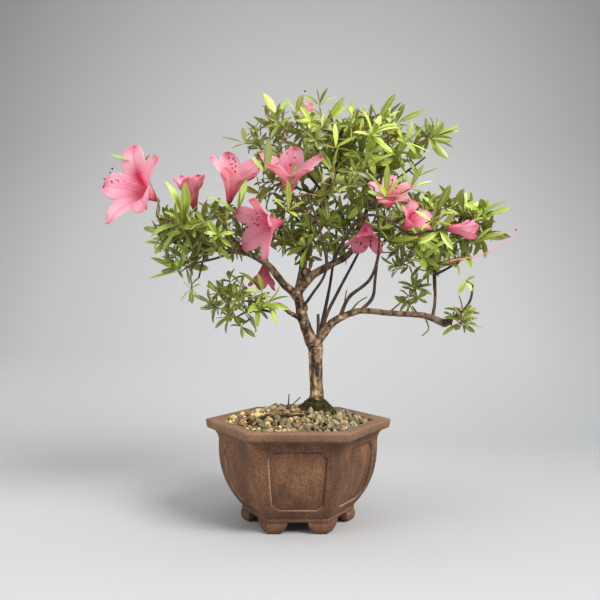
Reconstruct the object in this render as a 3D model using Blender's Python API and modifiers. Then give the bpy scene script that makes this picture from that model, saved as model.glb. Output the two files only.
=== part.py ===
"""Flowering azalea bonsai in a hexagonal stoneware pot.

Metres, +Z up. The origin is on the pot's axis, in the plane that its feet stand on.
A corner of the pot points along +X, a flat side faces -Y.
Each physical piece is one object: the fired pot, the drain screen and its wire, the soil,
the gravel, the moss, loose stones and twigs, the grown wood, each leafy shoot, and each
flower as a corolla and the stalk that carries it.
"""
import math
import random

import bmesh
import bpy
from mathutils import Matrix, Vector
from mathutils.bvhtree import BVHTree

MM = 0.001
SIDES = 6                                  # the pot is a regular hexagon
ACROSS = math.cos(math.pi / SIDES)         # flat-to-flat over corner-to-corner

# ---- Fits ---------------------------------------------------------------------------
GAP = 0.3 * MM                             # between pieces that touch
FAR = 150 * MM                             # past everything, for cutters

# ---- Pot: radii are to the corners --------------------------------------------------
POT_HEIGHT = 90.5 * MM
RIM_RADIUS = 83.4 * MM
RIM_WIDTH = 15.0 * MM                      # top face of the rim, towards a corner
LIP_HEIGHT = 8.0 * MM                      # outer band of the rim
LIP_REACH = 2.4 * MM                       # how far the band stands out of the cove
BELLY_RADIUS = 72.0 * MM
COVE_HEIGHT = 11.5 * MM                    # hollow sweep from the belly out to the lip
BASE_RADIUS = 50.5 * MM
BELLY_FULLNESS = 2.6                       # higher bulges lower down
WALL = 7.0 * MM
FLOOR = 8.0 * MM
RAIL_HEIGHT = 3.0 * MM                     # plain band round the base
FOOT_HEIGHT = 10.2 * MM
FOOT_REACH = 1.8 * MM                      # feet stand out past the base rail
FOOT_THICKNESS = 8.0 * MM
FOOT_GAP_TOP = 13.4 * MM                   # between neighbouring feet, at the rail
FOOT_GAP_BOTTOM = 25.6 * MM                # and on the ground
ARCH_LIP = 0.5 * MM                        # the arch between feet stops short of the floor
DRAIN_RADIUS = 9.0 * MM

PANEL_DEPTH = 1.0 * MM                     # sunk panel on each side
PANEL_TOP_WIDTH = 49.0 * MM
PANEL_BOTTOM_WIDTH = 43.0 * MM
PANEL_CHAMFER = 5.5 * MM
PANEL_ABOVE_RAIL = 8.6 * MM
PANEL_BELOW_RIM = 17.5 * MM

# ---- Drain screen and its wire ------------------------------------------------------
SCREEN_SIZE = 33.0 * MM
SCREEN_THICKNESS = 1.2 * MM
SCREEN_PITCH = 6.0 * MM
SCREEN_BAR = 1.6 * MM
WIRE_RADIUS = 0.6 * MM
WIRE_LEG = 12.0 * MM                       # bent out under the floor

# ---- What fills the pot -------------------------------------------------------------
SOIL_BELOW_RIM = 10.0 * MM                 # at the wall
MOUND_HEIGHT = 15.0 * MM                   # the middle over the wall side
GRAVEL_DEPTH = 5.0 * MM
MOSS_RADIUS = 16.5 * MM
MOSS_HEIGHT = 9.5 * MM                     # over the gravel
MOSS_SUNK = 3.0 * MM                       # its widest level, under the gravel's top
TREE_X = 16.5 * MM                         # the trunk stands off centre

# ---- Tree ---------------------------------------------------------------------------
TREE_HEIGHT = 245.0 * MM                   # trunk foot to the top of the wood
TREE_SPREAD = 335.0 * MM                   # side to side of the wood
TREE_DEPTH = 164.0 * MM                    # front to back of the wood
TRUNK_RADIUS = 6.2 * MM
TWIG_RADIUS = 0.8 * MM
LEAF_LENGTH = 33.0 * MM
LEAF_WIDTH = 10.5 * MM
LEAF_THICKNESS = 1.1 * MM
SHOOT_LENGTH = 17.0 * MM

# ---- Flowers ------------------------------------------------------------------------
PETAL_LENGTH = 47.0 * MM                   # flower base to petal tip, along the petal
PETAL_THICKNESS = 0.9 * MM
THROAT_RADIUS = 2.3 * MM
STYLE_RADIUS = 0.45 * MM
STYLE_START = 1.5 * MM                     # where it leaves the throat
CALYX_RADIUS = 1.9 * MM
PETALS = 5

# The tree's routes are drawn at this size and follow the sizes above.
DRAWN_HEIGHT, DRAWN_SPREAD, DRAWN_DEPTH = 245.0, 335.0, 164.0
DRAWN_FOOT = (16.5, 0.0, 98.0)
DRAWN_TRUNK_RADIUS, DRAWN_TWIG_RADIUS = 6.2, 0.8


# ---- Scene and helpers --------------------------------------------------------------
for leftover in list(bpy.data.objects):
    bpy.data.objects.remove(leftover, do_unlink=True)

parts = bpy.data.collections.new("azalea_bonsai")
cutters = bpy.data.collections.new("cutters")
for group in (parts, cutters):
    bpy.context.scene.collection.children.link(group)


def material(name, colour, roughness, metallic=0.0):
    """A Principled material in one colour."""
    made = bpy.data.materials.new(name)
    made.use_nodes = True
    shader = made.node_tree.nodes["Principled BSDF"]
    shader.inputs["Base Color"].default_value = (*colour, 1.0)
    shader.inputs["Roughness"].default_value = roughness
    shader.inputs["Metallic"].default_value = metallic
    return made


def object_of(name, mesh, collection=parts):
    """An object for a mesh, in the parts or the cutters."""
    made = bpy.data.objects.new(name, mesh)
    collection.objects.link(made)
    if collection is cutters:
        made.hide_render = True
        made.display_type = "WIRE"
    return made


def mesh_of(name, build):
    """A mesh filled by build(bm)."""
    mesh = bpy.data.meshes.new(name)
    bm = bmesh.new()
    build(bm)
    bmesh.ops.recalc_face_normals(bm, faces=bm.faces)
    bm.to_mesh(mesh)
    bm.free()
    return mesh


def evaluated(source):
    """A source object's mesh with its modifiers applied, in world space; it is removed."""
    bpy.context.view_layer.update()
    seen = source.evaluated_get(bpy.context.evaluated_depsgraph_get())
    mesh = bpy.data.meshes.new_from_object(seen)
    mesh.transform(source.matrix_world)
    bm = bmesh.new()
    bm.from_mesh(mesh)
    bmesh.ops.remove_doubles(bm, verts=bm.verts, dist=0.004 * MM)
    bm.to_mesh(mesh)
    bm.free()
    bpy.data.objects.remove(source, do_unlink=True)
    return mesh


def turned(name, profile, collection=parts, ring=False):
    """A profile of (radius, height) turned about Z with flat sides; it runs down the outer side."""
    mesh = bpy.data.meshes.new(name)
    edges = [(i, i + 1) for i in range(len(profile) - 1)]
    if ring:
        edges.append((len(profile) - 1, 0))
    mesh.from_pydata([(r, 0, z) for r, z in profile], edges, [])
    made = object_of(name, mesh, collection)
    screw = made.modifiers.new("turn", "SCREW")
    screw.steps = screw.render_steps = SIDES
    screw.use_merge_vertices = True
    screw.merge_threshold = 0.05 * MM
    screw.use_smooth_shade = False
    return made


def plate(name, outline, thickness, collection=cutters):
    """A flat outline in local XY, extruded half its thickness each way."""
    curve = bpy.data.curves.new(name, "CURVE")
    curve.dimensions = "2D"
    curve.fill_mode = "BOTH"
    curve.extrude = thickness / 2
    spline = curve.splines.new("POLY")
    spline.points.add(len(outline) - 1)
    for point, (x, y) in zip(spline.points, outline):
        point.co = (x, y, 0, 1)
    spline.use_cyclic_u = True
    flat = object_of(name + "_outline", curve, collection)
    return object_of(name, evaluated(flat), collection)


def tube(name, points, radii, resolution=1):
    """A round tapering tube along points, as a closed mesh."""
    curve = bpy.data.curves.new(name, "CURVE")
    curve.dimensions = "3D"
    curve.bevel_depth = radii[0]
    curve.bevel_resolution = resolution
    curve.use_fill_caps = True
    spline = curve.splines.new("POLY")
    spline.points.add(len(points) - 1)
    for point, place, radius in zip(spline.points, points, radii):
        point.co = (*place, 1)
        point.radius = radius / radii[0]
    return evaluated(object_of(name + "_route", curve, cutters))


def united(name, meshes):
    """One closed mesh out of several that run into each other."""
    first = object_of(name + "_first", meshes[0], cutters)
    others = [object_of(f"{name}_limb_{i}", mesh, cutters) for i, mesh in enumerate(meshes[1:])]
    for other in others:
        cut(first, other, "UNION")
    mesh = evaluated(first)
    for other in others:
        bpy.data.objects.remove(other, do_unlink=True)
    return mesh


def cut(target, cutter, operation="DIFFERENCE"):
    """Cut a cutter out of a piece."""
    boolean = target.modifiers.new(cutter.name, "BOOLEAN")
    boolean.operation = operation
    boolean.object = cutter


def finish(made, made_material, smooth=True):
    """Give a piece its material and its shading."""
    made.data.materials.append(made_material)
    if smooth:
        made.data.shade_smooth()
        made.data.set_sharp_from_angle(angle=math.radians(40))


# ---- Pot ----------------------------------------------------------------------------
base_top = FOOT_HEIGHT + RAIL_HEIGHT
floor_top = FOOT_HEIGHT + FLOOR
belly_top = POT_HEIGHT - LIP_HEIGHT - COVE_HEIGHT
lip_bottom = POT_HEIGHT - LIP_HEIGHT
cove_radius = RIM_RADIUS - LIP_REACH
opening_radius = RIM_RADIUS - RIM_WIDTH


def belly_radius(z):
    """Corner radius of the outside, from the base rail up to the lip."""
    if z > belly_top:
        sweep = math.asin(min(1.0, (z - belly_top) / COVE_HEIGHT))
        return cove_radius - (cove_radius - BELLY_RADIUS) * math.cos(sweep)
    rise = max(0.0, (z - base_top) / (belly_top - base_top))
    return BASE_RADIUS + (BELLY_RADIUS - BASE_RADIUS) * (1 - (1 - rise) ** BELLY_FULLNESS)


def inner_radius(z):
    """Corner radius of the inside wall."""
    return min(belly_radius(z) - WALL / ACROSS, opening_radius - 1.5 * MM)


def heights(low, high, count):
    return [low + (high - low) * i / (count - 1) for i in range(count)]


inside = [(inner_radius(floor_top) - 2 * MM, floor_top)]
inside += [(inner_radius(z), z) for z in heights(floor_top + 3 * MM, lip_bottom - 6 * MM, 6)]
inside += [(opening_radius, POT_HEIGHT - 1.5 * MM)]


def wall_radius(z):
    """Corner radius of the finished inside wall, read off its straight runs."""
    for (low_r, low_z), (high_r, high_z) in zip(inside, inside[1:]):
        if z <= high_z:
            break
    return low_r + (high_r - low_r) * (z - low_z) / (high_z - low_z)


lip = [(RIM_RADIUS - 1.8 * MM, POT_HEIGHT), (RIM_RADIUS - 0.5 * MM, POT_HEIGHT - 0.6 * MM),
       (RIM_RADIUS, POT_HEIGHT - 2 * MM), (RIM_RADIUS - 0.2 * MM, lip_bottom + 1.6 * MM),
       (RIM_RADIUS - 1.2 * MM, lip_bottom + 0.3 * MM)]
cove = [(belly_radius(belly_top + COVE_HEIGHT * math.sin(math.radians(a))),
         belly_top + COVE_HEIGHT * math.sin(math.radians(a))) for a in (90, 66, 44, 22)]
belly = [(belly_radius(z), z) for z in reversed(heights(base_top, belly_top, 8))]
rail = [(BASE_RADIUS + 0.5 * MM, base_top - 0.4 * MM), (BASE_RADIUS + 0.5 * MM, FOOT_HEIGHT + 0.8 * MM)]
foot_radius = BASE_RADIUS + FOOT_REACH
foot = [(foot_radius, FOOT_HEIGHT), (foot_radius + 0.3 * MM, 0.6 * FOOT_HEIGHT),
        (foot_radius - 1.4 * MM, 0.14 * FOOT_HEIGHT), (foot_radius - 2.8 * MM, 0),
        (foot_radius - FOOT_THICKNESS, 0), (foot_radius - FOOT_THICKNESS - 0.8 * MM, FOOT_HEIGHT),
        (0, FOOT_HEIGHT)]
bevel = [(opening_radius + 1.2 * MM, POT_HEIGHT)]
pot = turned("pot", [(0, floor_top)] + inside + bevel + lip + cove + belly + rail + foot)

# Arches between the feet, cut right through under the floor, side to opposite side.
arch_top = FOOT_HEIGHT - ARCH_LIP
half_top, half_bottom = FOOT_GAP_TOP / 2, FOOT_GAP_BOTTOM / 2
half_arch = [(half_bottom, -1 * MM), (half_bottom - 0.3 * MM, 0.1 * arch_top),
             ((half_top * 2 + half_bottom) / 3, 0.34 * arch_top), (half_top + 0.3 * MM, 0.58 * arch_top),
             (half_top, 0.9 * arch_top), (half_top - 1 * MM, arch_top)]
arch = half_arch + [(-x, z) for x, z in reversed(half_arch)]
for side in range(SIDES // 2):
    gap = plate(f"foot_arch_{side}", arch, 2 * FAR)
    gap.matrix_world = Matrix.Rotation(side * math.pi / 3, 4, "Z") @ Matrix.Rotation(math.pi / 2, 4, "X")
    cut(pot, gap)

bore = object_of("drain_bore", mesh_of("drain_bore", lambda bm: bmesh.ops.create_cone(
    bm, cap_ends=True, segments=24, radius1=DRAIN_RADIUS, radius2=DRAIN_RADIUS, depth=3 * FLOOR)), cutters)
bore.location.z = FOOT_HEIGHT + FLOOR / 2
cut(pot, bore)

# Sunk panels: the space outside a belly that is PANEL_DEPTH smaller, inside six outlines.
panel_low = base_top + PANEL_ABOVE_RAIL
panel_high = POT_HEIGHT - PANEL_BELOW_RIM
depth_levels = heights(panel_low - 2 * MM, panel_high + 2 * MM, 9)
sunk = [(belly_radius(z) - PANEL_DEPTH / ACROSS, z) for z in depth_levels]
panel_space = turned("panel_space", [(FAR, sunk[-1][1]), (FAR, sunk[0][1])] + sunk, cutters, ring=True)
half_panel = [(PANEL_BOTTOM_WIDTH / 2 - PANEL_CHAMFER, panel_low),
              (PANEL_BOTTOM_WIDTH / 2, panel_low + PANEL_CHAMFER),
              (PANEL_TOP_WIDTH / 2, panel_high - PANEL_CHAMFER),
              (PANEL_TOP_WIDTH / 2 - PANEL_CHAMFER, panel_high)]
panel = half_panel + [(-x, z) for x, z in reversed(half_panel)]
blank_start = (belly_radius(panel_low) * ACROSS) - 3 * PANEL_DEPTH
blank_depth = RIM_RADIUS - blank_start
blanks = []
for side in range(SIDES):
    blank = plate(f"panel_blank_{side}", panel, blank_depth)
    blank.matrix_world = (Matrix.Rotation(side * math.pi / 3, 4, "Z")
                          @ Matrix.Translation((0, -blank_start - blank_depth / 2, 0))
                          @ Matrix.Rotation(math.pi / 2, 4, "X"))
    blanks.append(evaluated(blank))
outlines = object_of("panel_outlines", united("panel_outlines", blanks), cutters)
cut(panel_space, outlines, "INTERSECT")
cut(pot, panel_space)
finish(pot, material("unglazed_stoneware", (0.20, 0.10, 0.07), 0.75), smooth=False)


# ---- Drain screen and wire ----------------------------------------------------------
def box(name, low, high, collection=cutters):
    """A box between two corners."""
    def build(bm):
        size = [b - a for a, b in zip(low, high)]
        middle = [(a + b) / 2 for a, b in zip(low, high)]
        bmesh.ops.create_cube(bm, size=1, matrix=Matrix.Translation(middle) @ Matrix.Diagonal((*size, 1)))
    return object_of(name, mesh_of(name, build), collection)


screen_low = floor_top + GAP
screen_high = screen_low + SCREEN_THICKNESS
half_screen = SCREEN_SIZE / 2
screen = box("drain_screen", (-half_screen, -half_screen, screen_low),
             (half_screen, half_screen, screen_high), parts)
opening = SCREEN_PITCH - SCREEN_BAR
reach = int((half_screen - opening / 2 - SCREEN_BAR) // SCREEN_PITCH)
offsets = [i * SCREEN_PITCH for i in range(-reach, reach + 1)]


def mesh_openings(bm):
    for x in offsets:
        for y in offsets:
            bmesh.ops.create_cube(bm, size=1, matrix=Matrix.Translation((x, y, screen_low))
                                  @ Matrix.Diagonal((opening, opening, 6 * SCREEN_THICKNESS, 1)))


cut(screen, object_of("mesh_openings", mesh_of("mesh_openings", mesh_openings), cutters))
finish(screen, material("black_plastic_mesh", (0.02, 0.02, 0.02), 0.6), smooth=False)

leg_x = max(x for x in offsets if x + WIRE_RADIUS + GAP < DRAIN_RADIUS)
wire_top = screen_high + GAP + WIRE_RADIUS
wire_bottom = FOOT_HEIGHT - GAP - WIRE_RADIUS
half_wire = [(leg_x + WIRE_LEG, wire_bottom), (leg_x + 1.2 * MM, wire_bottom),
             (leg_x, wire_bottom + 1.2 * MM), (leg_x, wire_top - 1.2 * MM), (leg_x - 1.2 * MM, wire_top)]
staple = half_wire + [(-x, z) for x, z in reversed(half_wire)]
wire = object_of("screen_wire", tube("screen_wire", [(x, 0, z) for x, z in staple],
                                     [WIRE_RADIUS] * len(staple), 2))
finish(wire, material("annealed_aluminium", (0.35, 0.33, 0.30), 0.45, 1.0))


# ---- Tree routes --------------------------------------------------------------------
soil_edge = POT_HEIGHT - SOIL_BELOW_RIM
soil_middle = soil_edge + MOUND_HEIGHT
gravel_top = soil_middle + GAP + GRAVEL_DEPTH
foot_point = Vector((TREE_X, 0, gravel_top - 2.3 * MM))


def placed(point):
    """A drawn point in millimetres, at the tree's real size, over the trunk's foot."""
    x, y, z = (point[i] - DRAWN_FOOT[i] for i in range(3))
    stretch = (TREE_SPREAD / DRAWN_SPREAD, TREE_DEPTH / DRAWN_DEPTH, TREE_HEIGHT / DRAWN_HEIGHT)
    return foot_point + Vector((x * stretch[0], y * stretch[1], z * stretch[2]))


# Each limb: its route, and its radius at the start and the end, as drawn in millimetres.
# A limb starts inside the one that it grew from.
LIMBS = {
    "trunk": ([(15, 0, 68), (16.5, 0, 92), (17, 0, 106), (16.2, 0, 134), (15.6, 0, 150), (15.4, 0, 159)],
              [8.0, 8.2, 6.6, 6.0, 6.4, 5.6]),
    "root_left": ([(16, 0, 82), (2, -3, 79), (-10, -6, 71), (-20, -8, 60)], [4.6, 3.0]),
    "root_right": ([(16, 0, 82), (28, -4, 78), (37, -8, 70), (42, -10, 60)], [4.2, 2.6]),
    "root_back": ([(16, 0, 80), (17, 14, 76), (20, 26, 66)], [4.0, 2.6]),
    "root_front": ([(16, 0, 80), (12, -14, 76), (8, -26, 66)], [4.0, 2.6]),
    "leader": ([(15, 0, 153), (9, 0, 167), (4, 0, 182), (2, 2, 192), (0, 3, 203), (2, 4, 212),
                (6, 8, 235), (10, 12, 252), (18, 14, 274), (26, 12, 292), (32, 8, 310)], [5.7, 2.0]),
    "right_fork": ([(1, 4, 205), (12, -2, 218), (20, -6, 223), (31, -10, 229), (41, -14, 234),
                    (49, -16, 243), (56, -14, 259), (62, -10, 281)], [4.2, 1.8]),
    "left_arm": ([(0, 3, 198), (-6, 0, 205), (-13, -4, 211), (-27, -10, 228), (-46, -12, 238),
                  (-67, -14, 240), (-86, -12, 245)], [4.3, 1.7]),
    "right_arm": ([(15, 0, 155), (20, -2, 163), (28, -6, 174), (38, -10, 181), (55, -14, 187),
                   (81, -14, 185), (110, -14, 183), (129, -14, 176.5), (134, -14, 180)],
                  [4.2, 4.0, 3.7, 3.2, 2.8, 2.6, 2.7, 3.3, 2.6]),
    "left_low": ([(3, 0, 180), (-7, -4, 185), (-18, -10, 193), (-39, -16, 189), (-55, -20, 181)],
                 [2.2, 1.0]),
    "cut_stub": ([(17, -2, 160), (18, -4, 170), (18, -5, 184)], [1.6, 1.3]),
    "twig_back": ([(18, 0, 160), (24, 8, 185), (30, 20, 213), (35, 40, 245), (40, 60, 284)], [1.8, 0.8]),
    "twig_inner": ([(22, -4, 166), (25, -6, 182), (36, 0, 204), (53, 14, 235), (70, 30, 268),
                    (84, 42, 300)], [1.8, 0.8]),
    "twig_front": ([(4, 0, 190), (12, -12, 201), (24, -28, 222), (20, -44, 250), (8, -56, 284)],
                   [1.6, 0.8]),
    "twig_low": ([(37, -10, 181), (45, -14, 199), (63, -28, 216), (68, -46, 245), (62, -62, 288)],
                 [1.9, 0.8]),
    "twig_curl": ([(55, -14, 187), (66, -11, 199), (69, -6, 217), (74, 6, 240), (86, 18, 264)],
                  [1.7, 0.8]),
    "arch_twig": ([(31, -10, 229), (35, -26, 240), (42, -38, 252), (52, -50, 265), (69, -56, 265),
                   (93, -52, 251), (112, -44, 256)], [1.6, 0.9]),
    "riser": ([(118, -14, 180), (121, -12, 195), (122, -8, 220), (124, -8, 242)], [1.7, 0.8]),
    "riser_outer": ([(122, -8, 219), (134, -17, 226), (144, -22, 234), (148, -24, 247)], [1.2, 0.8]),
    "riser_back": ([(121, -11, 205), (124, 16, 230), (124, 40, 248)], [1.3, 0.8]),
    "hook": ([(131, -14, 178), (145, -14, 187), (152, -14, 197), (153, -18, 210)], [1.5, 0.9]),
    "crown_left": ([(32, 8, 308), (20, -8, 326), (8, -18, 340)], [1.4, 0.8]),
    "crown_mid": ([(32, 8, 307), (38, 0, 328), (42, -6, 343)], [1.6, 0.8]),
    "crown_right": ([(62, -10, 278), (70, -16, 305), (78, -24, 331)], [1.5, 0.8]),
    "shoulder_right": ([(62, -10, 276), (84, -12, 300), (112, -16, 322)], [1.4, 0.8]),
    "shoulder_left": ([(26, 12, 291), (8, -2, 310), (-16, -16, 326)], [1.4, 0.8]),
    "back_left": ([(25, 12, 289), (8, 35, 300), (-10, 52, 308)], [1.2, 0.8]),
    "back_top": ([(31, 9, 306), (36, 30, 322), (40, 46, 331)], [1.2, 0.8]),
    "back_low": ([(7, 8, 237), (10, 34, 250), (16, 62, 262)], [1.3, 0.8]),
    "left_tip": ([(-84, -12, 244), (-103, -12, 243), (-112, -10, 254), (-117, -8, 263)], [1.5, 0.9]),
    "left_hang": ([(-58, -13, 239), (-72, -18, 233), (-87, -22, 229), (-98, -25, 224)], [1.1, 0.8]),
    "left_drop": ([(-80, -13, 243), (-84, -14, 230), (-87, -16, 216)], [1.0, 0.8]),
    "left_front": ([(-46, -12, 238), (-55, -35, 249), (-62, -54, 260)], [1.2, 0.8]),
    "left_back": ([(-64, -14, 240), (-73, 15, 251), (-82, 40, 260)], [1.2, 0.8]),
    "left_rise": ([(-35, -11, 232), (-41, -8, 254), (-44, -6, 272)], [1.1, 0.8]),
    "bloom_1": ([(-108, -12, 249), (-119, -3, 262), (-127, 3, 272)], [1.1, 0.8]),
    "bloom_2": ([(-84, -12, 244), (-91, -2, 257), (-94, 5, 267)], [1.0, 0.8]),
    "bloom_3": ([(-60, -13, 239), (-63, -9, 256), (-65, -6, 272)], [1.0, 0.8]),
    "bloom_4": ([(7, 8, 237), (2, -8, 247), (-6, -18, 256)], [1.1, 0.8]),
    "bloom_5": ([(11, 12, 254), (2, -2, 265), (-4, -12, 274)], [1.1, 0.8]),
    "bloom_6": ([(-26, -10, 227), (-28, 4, 233), (-28, 14, 234)], [1.0, 0.8]),
    "bloom_7": ([(49, -16, 243), (54, -14, 250), (58, -17, 256)], [1.0, 0.8]),
    "bloom_8": ([(62, -10, 277), (70, -20, 278), (74, -27, 281)], [1.0, 0.8]),
    "bloom_9": ([(78, -55, 260), (86, -51, 264), (92, -49, 267)], [1.0, 0.8]),
    "bloom_10": ([(106, -47, 253.5), (117, -52, 255), (128, -50, 262)], [1.0, 0.8]),
    "bloom_11": ([(20, -8, 325), (15, -2, 336), (12, 4, 347)], [1.0, 0.8]),
}


def limb_radii(route, sizes):
    """Radii along a route in metres; two sizes taper evenly, with the trunk's thickness."""
    if len(sizes) < len(route):
        sizes = heights(sizes[0], sizes[-1], len(route))
    thick = TRUNK_RADIUS / DRAWN_TRUNK_RADIUS
    thin = TWIG_RADIUS / DRAWN_TWIG_RADIUS
    return [size * (thick if size > 1.2 else thin) for size in sizes]


def limb_mesh(name, extra=0.0):
    """One limb, or the space round it when extra is set."""
    route, sizes = LIMBS[name]
    radii = [r + extra for r in limb_radii(route, sizes)]
    return tube(name, [placed(p) for p in route], radii, 2 if sizes[0] > 4 else 1)


def limb_end(name):
    """A limb's end, the way that it points there, and its radius."""
    route, sizes = LIMBS[name]
    end, before = placed(route[-1]), placed(route[-2])
    return end, (end - before).normalized(), limb_radii(route, sizes)[-1]


BURIED = ("trunk", "root_left", "root_right", "root_back", "root_front")
wood = object_of("trunk_and_branches", united("wood", [limb_mesh(name) for name in LIMBS]))
finish(wood, material("azalea_bark", (0.25, 0.15, 0.08), 0.85))
root_room = object_of("root_room", united("root_room", [limb_mesh(n, GAP) for n in BURIED]), cutters)


# ---- Soil, gravel and moss ----------------------------------------------------------
fill_radius = wall_radius(soil_edge) - 1.5 * GAP


def ground(r, rise=0.0):
    """Height of the soil's surface at a corner radius r."""
    share = min(1.0, r / fill_radius)
    return soil_edge + MOUND_HEIGHT * (1 - share ** 2) + rise


soil_profile = [(0, ground(0))] + [(r, ground(r)) for r in heights(fill_radius / 5, fill_radius, 5)]
soil_profile += [(r - 1.5 * GAP, z) for r, z in reversed(inside)
                 if GAP < z - floor_top < soil_edge - floor_top - GAP]
soil_profile += [(inside[0][0] - 1.5 * GAP, floor_top + GAP), (0, floor_top + GAP)]
soil = turned("soil", soil_profile)
cut(soil, box("screen_room", (-half_screen - GAP, -half_screen - GAP, FOOT_HEIGHT),
              (half_screen + GAP, half_screen + GAP, wire_top + WIRE_RADIUS + GAP)))
finish(soil, material("potting_soil", (0.05, 0.035, 0.02), 0.95))

spread = heights(0, fill_radius - 0.6 * MM, 6)
gravel_profile = [(r, ground(r, GRAVEL_DEPTH + GAP)) for r in spread]
gravel_profile += [(fill_radius - 0.1 * MM, ground(fill_radius, GRAVEL_DEPTH * 0.7))]
gravel_profile += [(r, ground(r, GAP)) for r in reversed(spread)]
gravel = turned("gravel_bed", gravel_profile)
finish(gravel, material("river_gravel", (0.50, 0.40, 0.25), 0.8))


def lump(name, centre, size, turn=0.0, extra=0.0, detail=2, collection=parts):
    """A rounded stone-like lump; extra makes the space round it."""
    def build(bm):
        bmesh.ops.create_icosphere(bm, subdivisions=detail, radius=1)
        for vert in bm.verts:
            ripple = math.sin(3 * vert.co.x + 1.3 * turn) * math.cos(2.3 * vert.co.y + turn)
            vert.co *= 1 + 0.09 * ripple
        room = Matrix.Diagonal((*[s + extra for s in size], 1))
        bm.transform(Matrix.Translation(centre) @ Matrix.Rotation(turn, 4, "Z") @ room)
    return object_of(name, mesh_of(name, build), collection)


moss_centre = Vector((TREE_X, 0, gravel_top - MOSS_SUNK))
moss_size = (MOSS_RADIUS, MOSS_RADIUS * 0.95, MOSS_HEIGHT + MOSS_SUNK)
moss = lump("moss_mound", moss_centre, moss_size)
moss_room = lump("moss_room", moss_centre, moss_size, extra=GAP, collection=cutters)
finish(moss, material("dark_moss", (0.03, 0.04, 0.015), 0.95))
for piece in (soil, gravel):
    cut(piece, moss_room)
for piece in (soil, gravel, moss):
    cut(piece, root_room)

# Bigger stones lie half sunk in the gravel: where on the ground, and their size.
STONES = [((-25, -30), (4.0, 3.2, 2.6)), ((8, -37), (3.6, 3.0, 2.4)), ((38, -26), (4.2, 3.4, 2.8)),
          ((-40, 18), (4.4, 3.6, 2.8))]
for index, ((x, y), size) in enumerate(STONES):
    size = [s * MM for s in size]
    level = ground(math.hypot(x, y) * MM / ACROSS, GRAVEL_DEPTH + 0.5 * MM)
    centre = Vector((x * MM, y * MM, level))
    finish(lump(f"surface_stone_{index + 1}", centre, size, turn=index * 1.1, detail=1),
           material(f"pale_stone_{index + 1}", (0.6, 0.55, 0.42), 0.8))
    cut(gravel, lump(f"stone_room_{index + 1}", centre, size, index * 1.1, GAP, 1, cutters))

# Dead twigs stuck in the gravel: their routes over the ground, and their radius.
DEAD_TWIGS = {"dead_twig_upright": ([(-10, -3, -3), (-9.6, -3, 5), (-8.6, -3, 13)], 0.55),
              "dead_twig_leaning": ([(-14, -5, -3), (-6, -6, 4.0), (2, -7, 10.5)], 0.7)}
for name, (route, radius) in DEAD_TWIGS.items():
    root = route[0]
    level = ground(math.hypot(root[0], root[1]) * MM / ACROSS, GRAVEL_DEPTH)
    points = [Vector((x * MM, y * MM, level + z * MM)) for x, y, z in route]
    finish(object_of(name, tube(name, points, [radius * MM] * 3)),
           material(name + "_wood", (0.20, 0.14, 0.09), 0.9))
    room = tube(name + "_room", points, [radius * MM + GAP] * 3)
    cut(gravel, object_of(name + "_room", room, cutters))


# ---- Flowers ------------------------------------------------------------------------
def facing(axis, roll=0.0):
    """A turn that takes +Z onto an axis, rolled about it."""
    return axis.to_track_quat("Z", "Y").to_matrix().to_4x4() @ Matrix.Rotation(roll, 4, "Z")


def corolla_mesh(name, base, axis, length, opening, roll):
    """Five joined petals: a grid wrapped round the axis, each column an arc that curls out.

    The arc's angle to the axis grows evenly with its length, so its radius and height are
    (cos a0 - cos a) / k and (sin a - sin a0) / k. A column's length falls from the middle
    of a petal to the notch between two.
    """
    start, end = math.radians(9), math.radians(opening)
    curl = (end - start) / length
    columns, rows = PETALS * 3, 3

    def build(bm):
        bmesh.ops.create_grid(bm, x_segments=columns, y_segments=rows, size=1)
        for vert in bm.verts:
            column = round((vert.co.x + 1) / 2 * columns)
            share = (vert.co.y + 1) / 2
            petal, part = divmod(column, 3)
            angle = 2 * math.pi / PETALS * (petal + (0.0, 0.31, 0.69)[part])
            reach = 0.55 if part == 0 else 1.0
            bend = start + curl * share * length * reach
            radius = THROAT_RADIUS + (math.cos(start) - math.cos(bend)) / curl
            height = (math.sin(bend) - math.sin(start)) / curl
            vert.co = (radius * math.cos(angle), radius * math.sin(angle), height)
        bmesh.ops.remove_doubles(bm, verts=bm.verts, dist=0.01 * MM)
        bm.transform(Matrix.Translation(base) @ facing(axis, roll))

    shell = object_of(name + "_sheet", mesh_of(name, build), cutters)
    solid = shell.modifiers.new("thickness", "SOLIDIFY")
    solid.thickness = PETAL_THICKNESS
    solid.offset = 0
    return evaluated(shell)


def stalk_mesh(name, limb, base, axis, style):
    """Pedicel, calyx and style in one: it starts at its twig and runs out of the flower."""
    end, way, radius = limb_end(limb)
    start = end + way * GAP
    behind = base - axis * (CALYX_RADIUS * 1.6 + PETAL_THICKNESS / 2)
    seat = base - axis * (PETAL_THICKNESS / 2 + GAP)
    middle = (start + behind) / 2 + way * (behind - start).length * 0.12
    points = [start, start + way * 2 * radius, middle, behind, seat - axis * CALYX_RADIUS * 0.5, seat,
              base + axis * STYLE_START]
    radii = [radius, radius, radius * 0.9, radius, CALYX_RADIUS, CALYX_RADIUS * 0.75, STYLE_RADIUS]
    points += [base + axis * a * MM + Vector((0, 0, u * MM)) for a, u in style]
    radii += [STYLE_RADIUS] * len(style)
    return tube(name, points, radii)


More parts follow.
